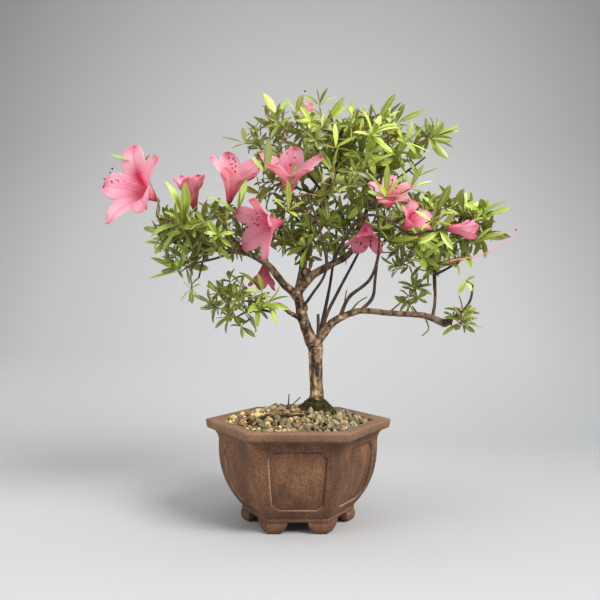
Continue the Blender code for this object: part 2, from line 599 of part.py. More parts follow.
# Each flower: its base as drawn, its axis, its size, how far it opens, its roll and its style.
SHORT = [(14, 0), (26, 2)]
FLOWERS = [
    ((-137, 5, 284), (-0.50, -0.79, 0.36), 1.00, 96, 20, [(20, -1), (38, 1), (50, 5)]),
    ((-96, 8, 280), (-0.24, -0.20, 0.93), 0.74, 36, 0, SHORT),
    ((-66, -9, 284), (-0.06, -0.55, 0.84), 0.90, 62, 10, SHORT),
    ((-14, -27, 264), (-0.72, -0.66, -0.20), 0.90, 84, 30, SHORT),
    ((-8, -22, 285), (0.10, -0.55, 0.83), 1.00, 74, 50, SHORT),
    ((-30, 20, 231), (-0.15, 0.25, -0.95), 0.55, 45, 0, [(10, 0), (18, 0)]),
    ((60, -24, 257), (0.05, -0.62, -0.78), 0.60, 90, 0, SHORT),
    ((77, -34, 288), (0.02, -0.80, 0.60), 0.58, 86, 15, SHORT),
    ((101, -50, 268), (0.62, -0.62, 0.48), 0.56, 78, 40, SHORT),
    ((134, -49, 262), (0.86, -0.36, -0.30), 0.60, 44, 10, [(20, -4), (36, 6), (44, 12), (50, 21)]),
    ((11, 9, 353), (-0.10, 0.10, 0.95), 0.50, 34, 0, [(8, 0), (14, 1)]),
]
taken = [BVHTree.FromPolygons([v.co for v in wood.data.vertices], [p.vertices for p in wood.data.polygons])]


def remember(mesh):
    """Add a finished piece to the space that is taken."""
    taken.append(BVHTree.FromPolygons([v.co for v in mesh.vertices], [p.vertices for p in mesh.polygons]))


for index, (drawn, axis, share, opening, roll, style) in enumerate(FLOWERS):
    name = f"flower_{index + 1:02d}"
    base, axis = placed(drawn), Vector(axis).normalized()
    corolla = corolla_mesh(name, base, axis, PETAL_LENGTH * share, opening, math.radians(roll))
    stalk = stalk_mesh(name + "_stalk", f"bloom_{index + 1}", base, axis, style)
    for mesh in (corolla, stalk):
        remember(mesh)
    finish(object_of(name + "_corolla", corolla), material(name + "_petals", (0.90, 0.28, 0.40), 0.55))
    finish(object_of(name + "_stalk", stalk), material(name + "_green", (0.35, 0.30, 0.12), 0.6))


# ---- Leafy shoots -------------------------------------------------------------------
def leaf_mesh(name, base, way, up, length, width, extra=0.0):
    """A pointed leaf: a coarse ball drawn out along its own line, flat across up."""
    side = way.cross(up).normalized()
    normal = side.cross(way).normalized()
    axes = Matrix((side * (width / 2 + extra), normal * (LEAF_THICKNESS / 2 + extra),
                   way * (length / 2 + extra))).transposed().to_4x4()

    def build(bm):
        bmesh.ops.create_uvsphere(bm, u_segments=4, v_segments=3, radius=1)
        bm.transform(Matrix.Translation(base + way * length / 2) @ axes)
    return mesh_of(name, build)


def clear(mesh):
    """True where a mesh cuts nothing that is finished."""
    tree = BVHTree.FromPolygons([v.co for v in mesh.vertices], [p.vertices for p in mesh.polygons])
    return not any(other.overlap(tree) for other in taken)


def sound(mesh):
    """True where a mesh is one closed body."""
    bm = bmesh.new()
    bm.from_mesh(mesh)
    closed = all(len(edge.link_faces) == 2 for edge in bm.edges)
    reached, waiting = set(), list(bm.verts)[:1]
    while waiting:
        vert = waiting.pop()
        if vert not in reached:
            reached.add(vert)
            waiting.extend(edge.other_vert(vert) for edge in vert.link_edges)
    whole = closed and len(reached) == len(bm.verts)
    bm.free()
    return whole


def joined(name, twig_and_leaves):
    """A twig and its leaves as one body; where a join fails, the leaf that spoils it is left off."""
    mesh = united(name, twig_and_leaves)
    for dropped in range(len(twig_and_leaves) - 1, 0, -1):
        if sound(mesh):
            break
        mesh = united(name, twig_and_leaves[:dropped] + twig_and_leaves[dropped + 1:])
    return mesh


def shoot_mesh(name, limb, leaves, rise, seed):
    """A twig that carries on from its limb, with leaves set round it in a spiral."""
    chance = random.Random(seed)
    end, way, radius = limb_end(limb)
    lift = Vector((0, 0, rise))
    start = end + way * GAP
    tip = start + (way + lift).normalized() * SHOOT_LENGTH
    middle = (start + tip) / 2 + (way - lift) * SHOOT_LENGTH * 0.06
    thin = [radius, radius * 0.9, radius * 0.7]
    grown = [tube(name, [start, middle, tip], thin)]
    along = (tip - start).normalized()
    side = along.orthogonal().normalized()
    for attempt in range(leaves * 4):
        if len(grown) > leaves:
            break
        share = 0.96 - 0.75 * ((attempt / (leaves * 1.3)) % 1)
        spin = Matrix.Rotation(attempt * 2.4 + chance.uniform(-0.3, 0.3), 3, along)
        lean = chance.uniform(0.35, 1.15) if share > 0.8 else chance.uniform(0.9, 1.5)
        outward = (spin @ side) * math.sin(lean) + along * math.cos(lean)
        outward = (outward + Vector((0, 0, 0.25))).normalized()
        size = chance.uniform(0.72, 1.12)
        base = middle.lerp(tip, share * 2 - 1) if share > 0.5 else start.lerp(middle, share * 2)
        up = Vector((0, 0, 1)) if abs(outward.z) < 0.9 else side
        shape = (base, outward, up, LEAF_LENGTH * size, LEAF_WIDTH * size)
        if clear(leaf_mesh(name, *shape, extra=GAP)):
            grown.append(leaf_mesh(name, *shape))
    return joined(name, grown)


# Each shoot: the limb that it ends, how many leaves it has and how much it turns upwards.
SHOOTS = [
    ("crown_left", 12, 0.2), ("crown_mid", 13, 0.3), ("crown_right", 13, 0.3),
    ("shoulder_right", 13, 0.1), ("shoulder_left", 13, 0.1), ("back_left", 12, 0.1),
    ("back_top", 12, 0.2), ("back_low", 12, 0.2), ("twig_back", 12, 0.1), ("twig_inner", 12, 0.1),
    ("twig_front", 12, 0.2), ("twig_low", 12, 0.2), ("twig_curl", 11, 0.1), ("arch_twig", 10, 0.2),
    ("riser", 12, 0.3), ("riser_outer", 11, 0.2), ("riser_back", 12, 0.2), ("hook", 9, 0.0),
    ("left_tip", 9, -0.1), ("left_hang", 8, -0.2), ("left_drop", 7, -0.4), ("left_front", 12, 0.2),
    ("left_back", 12, 0.2), ("left_low", 10, 0.0),
]
for index, (limb, leaves, rise) in enumerate(SHOOTS):
    name = f"shoot_{limb}"
    mesh = shoot_mesh(name, limb, leaves, rise, seed=100 + index)
    remember(mesh)
    finish(object_of(name, mesh), material(name + "_leaf", (0.16, 0.30, 0.05), 0.5))

bpy.context.view_layer.update()
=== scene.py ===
# %% [markdown]
# # A flowering azalea bonsai in a hexagonal pot
#
# This lesson dresses a plain construction model of a small satsuki azalea: a fired pot on six
# bracket feet, gravel and moss, a forked trunk, some four hundred whorls of leaves and eleven
# pink flowers. The construction model gives every place and size, in metres, with +Z up and the
# pot's axis as the origin. Each piece below is a surface worked out with numpy and handed to
# Blender as a mesh, and each finish is a small node network.

# %% Load the construction model
import math

import bmesh
import bpy
import numpy as np
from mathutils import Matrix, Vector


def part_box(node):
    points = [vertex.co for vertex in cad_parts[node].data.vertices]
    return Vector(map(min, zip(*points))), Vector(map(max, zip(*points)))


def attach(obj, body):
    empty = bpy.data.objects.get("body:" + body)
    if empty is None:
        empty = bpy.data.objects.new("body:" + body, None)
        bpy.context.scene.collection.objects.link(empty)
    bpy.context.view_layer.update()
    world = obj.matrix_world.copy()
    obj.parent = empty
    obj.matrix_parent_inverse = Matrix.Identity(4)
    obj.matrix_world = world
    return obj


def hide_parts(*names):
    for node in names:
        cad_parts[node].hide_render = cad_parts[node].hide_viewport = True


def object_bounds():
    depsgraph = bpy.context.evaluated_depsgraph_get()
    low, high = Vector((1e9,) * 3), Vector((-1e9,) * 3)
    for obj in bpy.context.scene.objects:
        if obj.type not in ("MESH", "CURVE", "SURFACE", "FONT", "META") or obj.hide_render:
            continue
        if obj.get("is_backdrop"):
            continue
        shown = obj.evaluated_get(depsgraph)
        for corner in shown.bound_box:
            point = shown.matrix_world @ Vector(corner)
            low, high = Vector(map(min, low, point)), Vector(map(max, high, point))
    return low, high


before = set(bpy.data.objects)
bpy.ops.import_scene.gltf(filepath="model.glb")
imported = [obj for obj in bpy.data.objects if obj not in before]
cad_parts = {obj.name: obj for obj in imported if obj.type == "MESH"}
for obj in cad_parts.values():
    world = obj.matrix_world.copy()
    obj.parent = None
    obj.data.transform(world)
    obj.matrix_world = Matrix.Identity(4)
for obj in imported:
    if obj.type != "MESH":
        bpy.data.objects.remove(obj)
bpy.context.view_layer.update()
MM = 0.001

# %% [markdown]
# ## Tools for surfaces
#
# Nearly everything here is a grid of points: rows along one parameter, columns along the other.
# A grid becomes quads by pairing each point with its neighbours. A column may wrap round to
# close a tube, and a row of one repeated point closes a pole.

# %% Grids, meshes and noise


def grid_faces(rows, columns, wrap_rows=False, wrap_columns=False):
    """Quads of a rows x columns grid of points, as point numbers; either way may wrap round."""
    r = np.arange(rows if wrap_rows else rows - 1)
    c = np.arange(columns if wrap_columns else columns - 1)
    r, c = (side.ravel() for side in np.meshgrid(r, c, indexing="ij"))
    r_next, c_next = (r + 1) % rows, (c + 1) % columns
    return np.stack([r * columns + c, r * columns + c_next,
                     r_next * columns + c_next, r_next * columns + c], axis=1)


def fan_faces(centre, ring, flip=False):
    """Triangles from one point to a closed ring of points."""
    ring = np.asarray(ring)
    pairs = (np.roll(ring, -1), ring) if flip else (ring, np.roll(ring, -1))
    return np.stack([np.full(len(ring), centre), *pairs], axis=1)


def shell(rows, columns):
    """Faces of a closed skin: a wrapped grid, then a point that closes each end."""
    count = rows * columns
    first, last = np.arange(columns), np.arange(count - columns, count)
    caps = np.concatenate([fan_faces(count, first, flip=True), fan_faces(count + 1, last)])
    return grid_faces(rows, columns, wrap_columns=True), caps


def closed(grid):
    """A grid's points with the middle of its first and its last row added, to go with shell()."""
    flat = grid.reshape(*grid.shape[:-3], -1, 3)
    ends = np.stack([grid[..., 0, :, :].mean(axis=-2), grid[..., -1, :, :].mean(axis=-2)], axis=-2)
    return np.concatenate([flat, ends], axis=-2)


def mesh_from(name, points, quads=(), triangles=(), attributes=None):
    """A smooth mesh from arrays of points and faces, with one number per point per attribute."""
    points = np.asarray(points, np.float32).reshape(-1, 3)
    quads, triangles = np.asarray(quads, int).reshape(-1, 4), np.asarray(triangles, int).reshape(-1, 3)
    mesh = bpy.data.meshes.new(name)
    mesh.vertices.add(len(points))
    mesh.vertices.foreach_set("co", points.ravel())
    mesh.loops.add(quads.size + triangles.size)
    mesh.loops.foreach_set("vertex_index", np.concatenate([quads.ravel(), triangles.ravel()]))
    mesh.polygons.add(len(quads) + len(triangles))
    totals = np.concatenate([np.full(len(quads), 4), np.full(len(triangles), 3)])
    mesh.polygons.foreach_set("loop_start", np.cumsum(totals) - totals)
    mesh.polygons.foreach_set("use_smooth", np.ones(len(totals), bool))
    mesh.update(calc_edges=True)
    for key, values in (attributes or {}).items():
        layer = mesh.attributes.new(key, "FLOAT", "POINT")
        layer.data.foreach_set("value", np.asarray(values, np.float32).ravel())
    return mesh


def copies(template_size, faces, count):
    """One template's faces repeated for count copies of its points."""
    step = np.arange(count)[:, None, None] * template_size
    return (np.asarray(faces)[None] + step).reshape(-1, np.asarray(faces).shape[1])


def hashed(cells, seed):
    """A number from 0 to 1 for each integer cell, always the same for the same cell."""
    mixed = cells[..., 0] * 73856093 ^ cells[..., 1] * 19349663 ^ cells[..., 2] * 83492791 ^ seed * 7919
    mixed = (mixed ^ (mixed >> 13)) * 1274126177 & 0x7FFFFFFF
    return ((mixed ^ (mixed >> 16)) & 0xFFFF) / 0xFFFF


def noise(points, size, seed=0):
    """Smooth noise from -1 to 1: hashed numbers at the corners of cells, blended by 3t2-2t3."""
    place = np.asarray(points, float) / size
    cell = np.floor(place).astype(np.int64)
    t = place - cell
    t = t * t * (3 - 2 * t)
    total = 0.0
    for corner in range(8):
        step = np.array([corner & 1, corner >> 1 & 1, corner >> 2 & 1])
        total = total + hashed(cell + step, seed) * np.prod(np.where(step, t, 1 - t), axis=-1)
    return total * 2 - 1


def unit(vectors):
    """Vectors at length 1."""
    vectors = np.asarray(vectors, float)
    return vectors / np.maximum(np.linalg.norm(vectors, axis=-1, keepdims=True), 1e-12)


def point_normals(mesh):
    normals = np.empty(len(mesh.vertices) * 3, np.float32)
    mesh.vertex_normals.foreach_get("vector", normals)
    return normals.reshape(-1, 3)


def point_places(mesh):
    places = np.empty(len(mesh.vertices) * 3, np.float32)
    mesh.vertices.foreach_get("co", places)
    return places.reshape(-1, 3)


def piece(name, mesh, finish, slot, *replaced):
    """Put a finished mesh on the model: its material and what it stands for; slot is not used."""
    made = bpy.data.objects.new(name, mesh)
    bpy.context.scene.collection.objects.link(made)
    mesh.materials.clear()
    mesh.materials.append(finish)
    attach(made, "root")
    if replaced:
        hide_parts(*replaced)
    print(f"{name}: {len(mesh.polygons)} faces")
    return made


# %% [markdown]
# ## Tools for finishes
#
# A finish is a Principled shader with a few nodes in front of its colour, roughness and bump.
# Colours are written as they look on a screen and turned to linear light by one function.
# Patterns read Object coordinates, whose unit is the metre, so a Noise scale of 1/0.003 has
# features of about 3 mm. One helper adds any node, sets its properties and links its inputs.

# %% Colour and nodes


def linear(hex_colour):
    """An sRGB hex colour as linear light: c/12.92, or ((c+0.055)/1.055)^2.4 above 0.04045."""
    values = [int(hex_colour[i:i + 2], 16) / 255 for i in (1, 3, 5)]
    return (*[v / 12.92 if v <= 0.04045 else ((v + 0.055) / 1.055) ** 2.4 for v in values], 1.0)


def add(tree, kind, inputs=None, **settings):
    """Add a node: settings are its properties, and an input takes a value or a link."""
    made = tree.nodes.new("ShaderNode" + kind)
    for key, value in settings.items():
        setattr(made, key, value)
    for key, value in (inputs or {}).items():
        if isinstance(value, bpy.types.NodeSocket):
            tree.links.new(value, made.inputs[key])
        else:
            made.inputs[key].default_value = value
    return made


def new_finish(name, roughness, **settings):
    """A material and its Principled shader; settings are constants on the shader's own sockets."""
    made = bpy.data.materials.new(name)
    made.use_nodes = True
    shader = made.node_tree.nodes["Principled BSDF"]
    shader.inputs["Roughness"].default_value = roughness
    for key, value in settings.items():
        shader.inputs[key.replace("_", " ")].default_value = value
    return made, made.node_tree, shader


def object_place(tree):
    """Where a point of the surface is on its own object, in metres."""
    return add(tree, "TexCoord").outputs["Object"]


def point_value(tree, key):
    """One of the numbers that a mesh carries for each of its points."""
    return add(tree, "Attribute", attribute_name=key).outputs["Fac"]


def ramp(tree, value, stops, interpolation="LINEAR"):
    """Colours laid out along a value from 0 to 1: each stop is a place on it and a hex colour."""
    made = add(tree, "ValToRGB", {"Fac": value})
    made.color_ramp.interpolation = interpolation
    elements = made.color_ramp.elements
    while len(elements) < len(stops):
        elements.new(0.5)
    for element, (position, colour) in zip(elements, stops):
        element.position, element.color = position, linear(colour)
    return made.outputs["Color"]


def share_of(tree, value, span, result=(0.0, 1.0)):
    """How far a value is along a span, held to its ends and turned to a result's range."""
    return add(tree, "MapRange", {"Value": value, "From Min": span[0], "From Max": span[1],
                                  "To Min": result[0], "To Max": result[1]}).outputs["Result"]


def mottle(tree, place, size, detail=4.0):
    """A Noise texture whose largest features are about a size in metres; its Fac runs 0 to 1."""
    return add(tree, "TexNoise", {"Vector": place, "Scale": 1 / size, "Detail": detail,
                                  "Roughness": 0.55}).outputs["Fac"]


def blend(tree, factor, first, second, mode="MIX"):
    """Mix two colours; a plain hex colour is a constant."""
    mixed = add(tree, "Mix", data_type="RGBA", blend_type=mode)
    for index, value in ((0, factor), (6, first), (7, second)):
        if isinstance(value, bpy.types.NodeSocket):
            tree.links.new(value, mixed.inputs[index])
        else:
            mixed.inputs[index].default_value = linear(value) if isinstance(value, str) else value
    return mixed.outputs[2]


def rough_skin(tree, shader, height, depth):
    """Bump a shader's surface by a height from 0 to 1 that stands for a depth in metres."""
    bump = add(tree, "Bump", {"Height": height, "Distance": depth, "Strength": 1.0})
    tree.links.new(bump.outputs["Normal"], shader.inputs["Normal"])


# %% [markdown]
# ## The pot's finish: unglazed stoneware
#
# The pot is iron-rich stoneware, pressed in a mould, scraped, and fired without glaze. That
# gives a dry, sandy face in red-brown: ochre grog and dark iron specks under a millimetre
# across, cloudy patches of 20 to 40 mm from the kiln's flame, and a paler, pinker rim where
# hands and water have rubbed it. Grog of 0.3 mm would not show, so it is drawn near 0.8 mm.
# The sunk panels' edges carry painted light, as if lit from the upper right: a painted
# highlight along their lower and left edges and a painted shadow line along their upper and
# right edges.

# %% Stoneware
stoneware, tree, shader = new_finish("unglazed_stoneware", 0.78, Specular_IOR_Level=0.35)
place = object_place(tree)
height = add(tree, "SeparateXYZ", {"Vector": place}).outputs["Z"]
cloud = mottle(tree, place, 0.035)
streak_place = add(tree, "Mapping", {"Vector": place, "Scale": (1.0, 1.0, 0.25)}).outputs["Vector"]
streak = mottle(tree, streak_place, 0.006)
grog = mottle(tree, place, 0.0016, detail=2.0)
clay = ramp(tree, cloud, [(0.30, "#523D31"), (0.46, "#634738"), (0.58, "#6E503C"),
                          (0.74, "#7B6248")])
grain = ramp(tree, grog, [(0.34, "#90847A"), (0.46, "#B4AEA8"), (0.56, "#C0B8AC"),
                          (0.68, "#E8D0A6")])
body = blend(tree, 0.85, clay, grain, "OVERLAY")
streaks = ramp(tree, streak, [(0.35, "#9C9A98"), (0.65, "#D4D1CC")])
body = blend(tree, 0.6, body, streaks, "OVERLAY")
rim_share = share_of(tree, height, (0.080, 0.0895), (0.0, 0.40))
body = blend(tree, rim_share, body, "#947660")
foot_share = share_of(tree, height, (0.030, 0.004), (0.0, 0.35))
body = blend(tree, foot_share, body, "#59402F")
# Painted light on the sunk panels: a pale painted highlight on their lower and left edges and a dark
# painted shadow line on their upper and right edges.
painted_highlight = point_value(tree, "painted_highlight_edge")
body = blend(tree, painted_highlight, body, "#A58B70")
painted_recess_shade = point_value(tree, "painted_recess_shade")
body = blend(tree, painted_recess_shade, body, "#2C1F18")
tree.links.new(body, shader.inputs["Base Color"])
skin = add(tree, "Math", {0: mottle(tree, place, 0.0016, detail=3.0), 1: streak}, operation="ADD")
rough_skin(tree, shader, skin.outputs["Value"], 0.0004)

# %% [markdown]
# ## The pot's shape
#
# The pot is a regular hexagon with softly rounded corners, a full belly, a hollow cove under a
# heavy lip, and a sunk panel with cut corners on each side. One closed surface carries it all:
# a profile runs from the drain hole out along the underside, up the outside, over the rim,
# down the inside and back along the floor to the hole. Round the axis, a ring is made of
# corner arcs and straight sides. Near the hole the ring turns into a circle.

# %% Pot ring and profile
pot_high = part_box("pot")[1]
RIM_TOP = pot_high.z
RIM_RADIUS = pot_high.x
LIP, COVE, WALL, FLOOR, RAIL, FOOT = 8.0 * MM, 11.5 * MM, 7.0 * MM, 8.0 * MM, 3.0 * MM, 10.2 * MM
BELLY_RADIUS, BASE_RADIUS, RIM_WIDTH = 72.0 * MM, 50.5 * MM, 15.0 * MM
FLAT = math.cos(math.pi / 6)
BASE_TOP, BELLY_TOP = FOOT + RAIL, RIM_TOP - LIP - COVE
FLOOR_TOP = FOOT + FLOOR
COVE_RADIUS = RIM_RADIUS - 2.4 * MM


def belly_radius(z):
    """Corner radius of the outside: base + (belly - base)(1 - (1 - rise)^2.6), then a cove."""
    rise = np.clip((z - BASE_TOP) / (BELLY_TOP - BASE_TOP), 0, 1)
    belly = BASE_RADIUS + (BELLY_RADIUS - BASE_RADIUS) * (1 - (1 - rise) ** 2.6)
    sweep = np.arcsin(np.clip((z - BELLY_TOP) / COVE, 0, 1))
    return belly + (COVE_RADIUS - BELLY_RADIUS) * (1 - np.cos(sweep))


def hexagon(corner_steps, side_shares):
    """Once round a hexagon of corner radius R and rounding r: points are A R + B r.

    A corner's arc has its centre at R - r/cos 30 on the corner's line and spans 30 degrees each way.
    A side runs straight from one arc's end to the next arc's start.
    """
    corner = np.arange(6) * math.pi / 3
    swing = np.linspace(-math.pi / 6, math.pi / 6, corner_steps)
    out = np.stack([np.cos(corner), np.sin(corner)], -1)
    arc = corner[:, None] + swing[None]
    a_arc = np.repeat(out[:, None], corner_steps, 1)
    b_arc = np.stack([np.cos(arc), np.sin(arc)], -1) - a_arc / FLAT
    t = np.asarray(side_shares)[:, None, :, None]
    rows = len(t)
    sides = []
    for arcs in (a_arc, b_arc):
        side = arcs[:, -1:] * (1 - t) + np.roll(arcs, -1, 0)[:, :1] * t
        sides.append(np.concatenate([np.repeat(arcs[None], rows, 0), side], 2).reshape(rows, -1, 2))
    return sides


def smooth_step(value, low, high):
    """0 below low, 1 above high, 3t2-2t3 between."""
    t = np.clip((value - low) / (high - low), 0, 1)
    return t * t * (3 - 2 * t)


def along(points, spacing):
    """A polyline of points resampled at an even spacing."""
    points = np.asarray(points, float)
    run = np.concatenate([[0], np.cumsum(np.linalg.norm(np.diff(points, axis=0), axis=1))])
    steps = np.linspace(0, run[-1], max(2, round(run[-1] / spacing) + 1))
    return np.stack([np.interp(steps, run, points[:, i]) for i in range(points.shape[1])], -1)


PANEL_TOP, PANEL_BOTTOM, PANEL_CUT, PANEL_DEPTH = 24.5 * MM, 21.5 * MM, 5.5 * MM, 1.4 * MM
panel_low, panel_high = BASE_TOP + 8.6 * MM, RIM_TOP - 17.5 * MM
edge_steps = np.array([-0.9, -0.3, -0.12, 0.06, 0.24, 0.42, 1.0]) * MM
belly_z = np.sort(np.concatenate([np.linspace(BASE_TOP, RIM_TOP - LIP - 0.05 * MM, 70),
                                  panel_low + edge_steps, panel_high - edge_steps]))
outside = np.stack([belly_radius(belly_z), belly_z], -1)
lip_turn = np.radians(np.linspace(8, 84, 7))
lip_face = np.stack([RIM_RADIUS - 1.5 * MM + 1.5 * MM * np.cos(lip_turn),
                     RIM_TOP - 1.7 * MM + 1.7 * MM * np.sin(lip_turn)], -1)
lip_under = np.array([(-2.2, 0.1), (-1.7, 0.35), (-1.25, 0.8), (-1.0, 1.4), (-0.7, 2.8), (-0.4, 4.4),
                      (-0.1, 5.8)]) * MM
lip_under = lip_under + [RIM_RADIUS, RIM_TOP - LIP]
inner_z = np.linspace(RIM_TOP - LIP, FLOOR_TOP + 3 * MM, 24)
opening = RIM_RADIUS - RIM_WIDTH
inside_r = np.minimum(belly_radius(inner_z) - WALL / FLAT, opening - 1.5 * MM)
inside = np.stack([inside_r, inner_z], -1)
hole_radius = 9 * MM
profile = np.concatenate([
    along([(hole_radius / FLAT, FLOOR_TOP - 0.6 * MM), (hole_radius / FLAT, FOOT + 0.6 * MM),
           (hole_radius / FLAT + 0.6 * MM, FOOT)], 1 * MM),
    along([(hole_radius / FLAT + 2 * MM, FOOT), (BASE_RADIUS - 1.0 * MM, FOOT)], 4 * MM),
    [(BASE_RADIUS + 0.1 * MM, FOOT + 0.15 * MM), (BASE_RADIUS + 0.55 * MM, FOOT + 0.7 * MM),
     (BASE_RADIUS + 0.6 * MM, FOOT + 1.5 * MM), (BASE_RADIUS + 0.45 * MM, FOOT + 2.3 * MM),
     (BASE_RADIUS + 0.1 * MM, FOOT + 2.8 * MM)],
    outside, lip_under, lip_face,
    along([(RIM_RADIUS - 2.6 * MM, RIM_TOP), (opening + 2.2 * MM, RIM_TOP - 0.5 * MM)], 1.2 * MM),
    [(opening + 1.0 * MM, RIM_TOP - 0.8 * MM), (opening + 0.2 * MM, RIM_TOP - 1.6 * MM),
     (opening, RIM_TOP - 2.6 * MM)],
    inside,
    along([(inside_r[-1] - 2.5 * MM, FLOOR_TOP), (hole_radius / FLAT + 1.0 * MM, FLOOR_TOP)], 5 * MM)])
print("pot profile points:", len(profile))

# %% Pot body
# Columns crowd round the panel's two edges: shares of the way from one corner to the next.
panel_half = np.interp(profile[:, 1], [panel_low, panel_high], [PANEL_BOTTOM, PANEL_TOP])
side_half = np.maximum(profile[:, 0] / 2 - 2.2 * MM, panel_half + 1.5 * MM)
edge = (panel_half[:, None] - edge_steps[::-1]) / side_half[:, None]
middle = np.linspace(-1, 1, 36)[None, 1:-1] * edge[:, :1]
outer = edge[:, -1:] + (1 - edge[:, -1:]) * np.linspace(0, 1, 10)[None, 1:-1]
side_place = np.concatenate([-outer[:, ::-1], -edge[:, ::-1], middle, edge, outer], 1)
ring_a, ring_b = hexagon(corner_steps=9, side_shares=(side_place + 1) / 2)
rounding = np.interp(profile[:, 0], [0.03, BASE_RADIUS, BELLY_RADIUS, RIM_RADIUS],
                     [1.0 * MM, 3.6 * MM, 4.6 * MM, 2.6 * MM])
ring = ring_a * profile[:, None, :1] + ring_b * rounding[:, None, None]
bearing = np.arctan2(ring[..., 1], ring[..., 0])
circle = np.stack([np.cos(bearing), np.sin(bearing)], -1) * profile[:, None, :1] * FLAT
near_hole = 1 - smooth_step(profile[:, 0], 11 * MM, 30 * MM)[:, None, None]
ring = ring * (1 - near_hole) + circle * near_hole
pot_grid = np.concatenate([ring, np.repeat(profile[:, None, 1:], ring.shape[1], 1)], -1)

side = np.round((bearing - math.pi / 6) / (math.pi / 3)) * math.pi / 3 + math.pi / 6
facing = np.stack([np.cos(side), np.sin(side)], -1)
rightward = pot_grid[..., 1] * facing[..., 0] - pot_grid[..., 0] * facing[..., 1]
across = np.abs(rightward)
z = pot_grid[..., 2]
half_width = panel_half[:, None]
to_rail = np.minimum(z - panel_low, panel_high - z)
corner_cut = (half_width - across + to_rail - PANEL_CUT) / math.sqrt(2)
inset = np.minimum.reduce([half_width - across, z - panel_low, panel_high - z, corner_cut])
first_outside = np.argmin(np.abs(profile[:, 1] - BASE_TOP) + (profile[:, 0] < BASE_RADIUS - 1 * MM))
is_outside = np.zeros(len(profile), bool)
is_outside[first_outside:first_outside + len(outside)] = True
sunk = PANEL_DEPTH * smooth_step(inset, -0.15 * MM, 0.3 * MM) * is_outside[:, None]
sunk += 0.35 * MM * np.exp(-((inset - 0.7 * MM) / (0.5 * MM)) ** 2) * is_outside[:, None]
pot_grid[..., :2] -= facing * sunk[..., None]
# Painted light on the panel edges, as if lit from the upper right: the lower and left edges get a
# painted highlight, the upper and right edges a painted shadow line, and noise breaks both into
# patches.
toward_light = rightward / half_width + (2 * z - panel_low - panel_high) / (panel_high - panel_low)
painted_line_patches = smooth_step(noise(pot_grid, 9 * MM, 5) + 0.9, 0.0, 1.0) * is_outside[:, None]
painted_highlight_edge = 0.75 * np.exp(-((inset - 0.1 * MM) / (0.42 * MM)) ** 2) * (toward_light < 0.1) * painted_line_patches
painted_recess_shade_line = 0.6 * np.exp(-((inset - 0.5 * MM) / (0.55 * MM)) ** 2) * (toward_light > -0.1) * painted_line_patches
hand = 0.35 * MM * noise(pot_grid, 28 * MM, 3) + 0.12 * MM * noise(pot_grid, 7 * MM, 4)
pot_grid[..., :2] *= 1 + (hand * np.clip(pot_grid[..., 2] / RIM_TOP, 0, 1) / RIM_RADIUS)[..., None]
rows, columns = pot_grid.shape[:2]
pot_points, pot_quads = pot_grid.reshape(-1, 3), grid_faces(rows, columns, True, True)

# %% [markdown]
# ## The feet
#
# Each foot is a bracket that turns round a corner, tall in the middle and scrolled up at its
# two ends. It is a cross-section carried along the base ring: the section's outer face bulges
# past the base rail, and its underside follows an S-shaped outline from the ground up to the
# arch. Where the section shrinks to nothing, a point closes it.

# %% Feet
ARCH_TOP, FOOT_OUT = FOOT - 0.5 * MM, BASE_RADIUS + 0.9 * MM
half_side = FOOT_OUT / 2
foot_reach = half_side - 6.7 * MM
share = np.linspace(-1, 1, 61)
s = share * foot_reach
scroll = np.array([0, foot_reach - 6.8 * MM, foot_reach - 4.2 * MM, foot_reach - 1.6 * MM,
                   foot_reach - 0.3 * MM, foot_reach])
lift = ARCH_TOP * np.interp(np.abs(s), scroll, [0, 0.0, 0.16, 0.46, 0.72, 0.97])
height_shares = np.array([1.12, 0.95, 0.88, 0.82, 0.62, 0.40, 0.22, 0.09, 0.0, 0.0, 0.05, 0.5, 1.12])
bulges = np.array([-1.4, -0.3, -0.75, 0.05, 0.35, 0.20, -0.35, -1.2, -2.6, -6.6, -7.6, -8.1, -8.2]) * MM
foot_points, foot_quads, foot_caps, count = [], [], [], len(pot_points)
for corner in range(6):
    turn = corner * math.pi / 3
    one, other = turn + math.pi / 6, turn - math.pi / 6
    tangent_a = np.array([-math.sin(one), math.cos(one)])
    tangent_b = np.array([-math.sin(other), math.cos(other)])
    soft = np.sqrt(s ** 2 + (2.2 * MM) ** 2) - 2.2 * MM
    toward = np.where(s[:, None] > 0, tangent_a, -tangent_b)
    radial = np.array([math.cos(turn), math.sin(turn)])
    outward = unit(np.where(s[:, None] > 0, [math.cos(one), math.sin(one)],
                            [math.cos(other), math.sin(other)])
                   * smooth_step(np.abs(s), 0, 3.5 * MM)[:, None]
                   + radial * (1 - smooth_step(np.abs(s), 0, 3.5 * MM))[:, None])
    line = radial * (FOOT_OUT - 0.4 * MM) + toward * soft[:, None]
    level = lift[:, None] + (FOOT - lift[:, None]) * height_shares[None]
    reach = bulges[None] * (0.45 + 0.55 * np.clip(1 - lift / FOOT, 0, 1))[:, None]
    flat = line[:, None] + outward[:, None] * reach[..., None]
    section = np.concatenate([flat, level[..., None]], -1)
    quads, caps = shell(len(s), len(bulges))
    grown = closed(section)
    foot_points.append(grown)
    foot_quads.append(quads + count)
    foot_caps.append(caps + count)
    count += len(grown)
pot_mesh = mesh_from("stoneware_pot", np.concatenate([pot_points, *foot_points]),
                     np.concatenate([pot_quads, *foot_quads]), np.concatenate(foot_caps),
                     {key: np.append(values, np.zeros(sum(len(points) for points in foot_points)))
                      for key, values in (("painted_highlight_edge", painted_highlight_edge), ("painted_recess_shade", painted_recess_shade_line))})
pot_mesh.set_sharp_from_angle(angle=math.radians(50))
piece("stoneware_pot", pot_mesh, stoneware, "fired_stoneware", "pot")

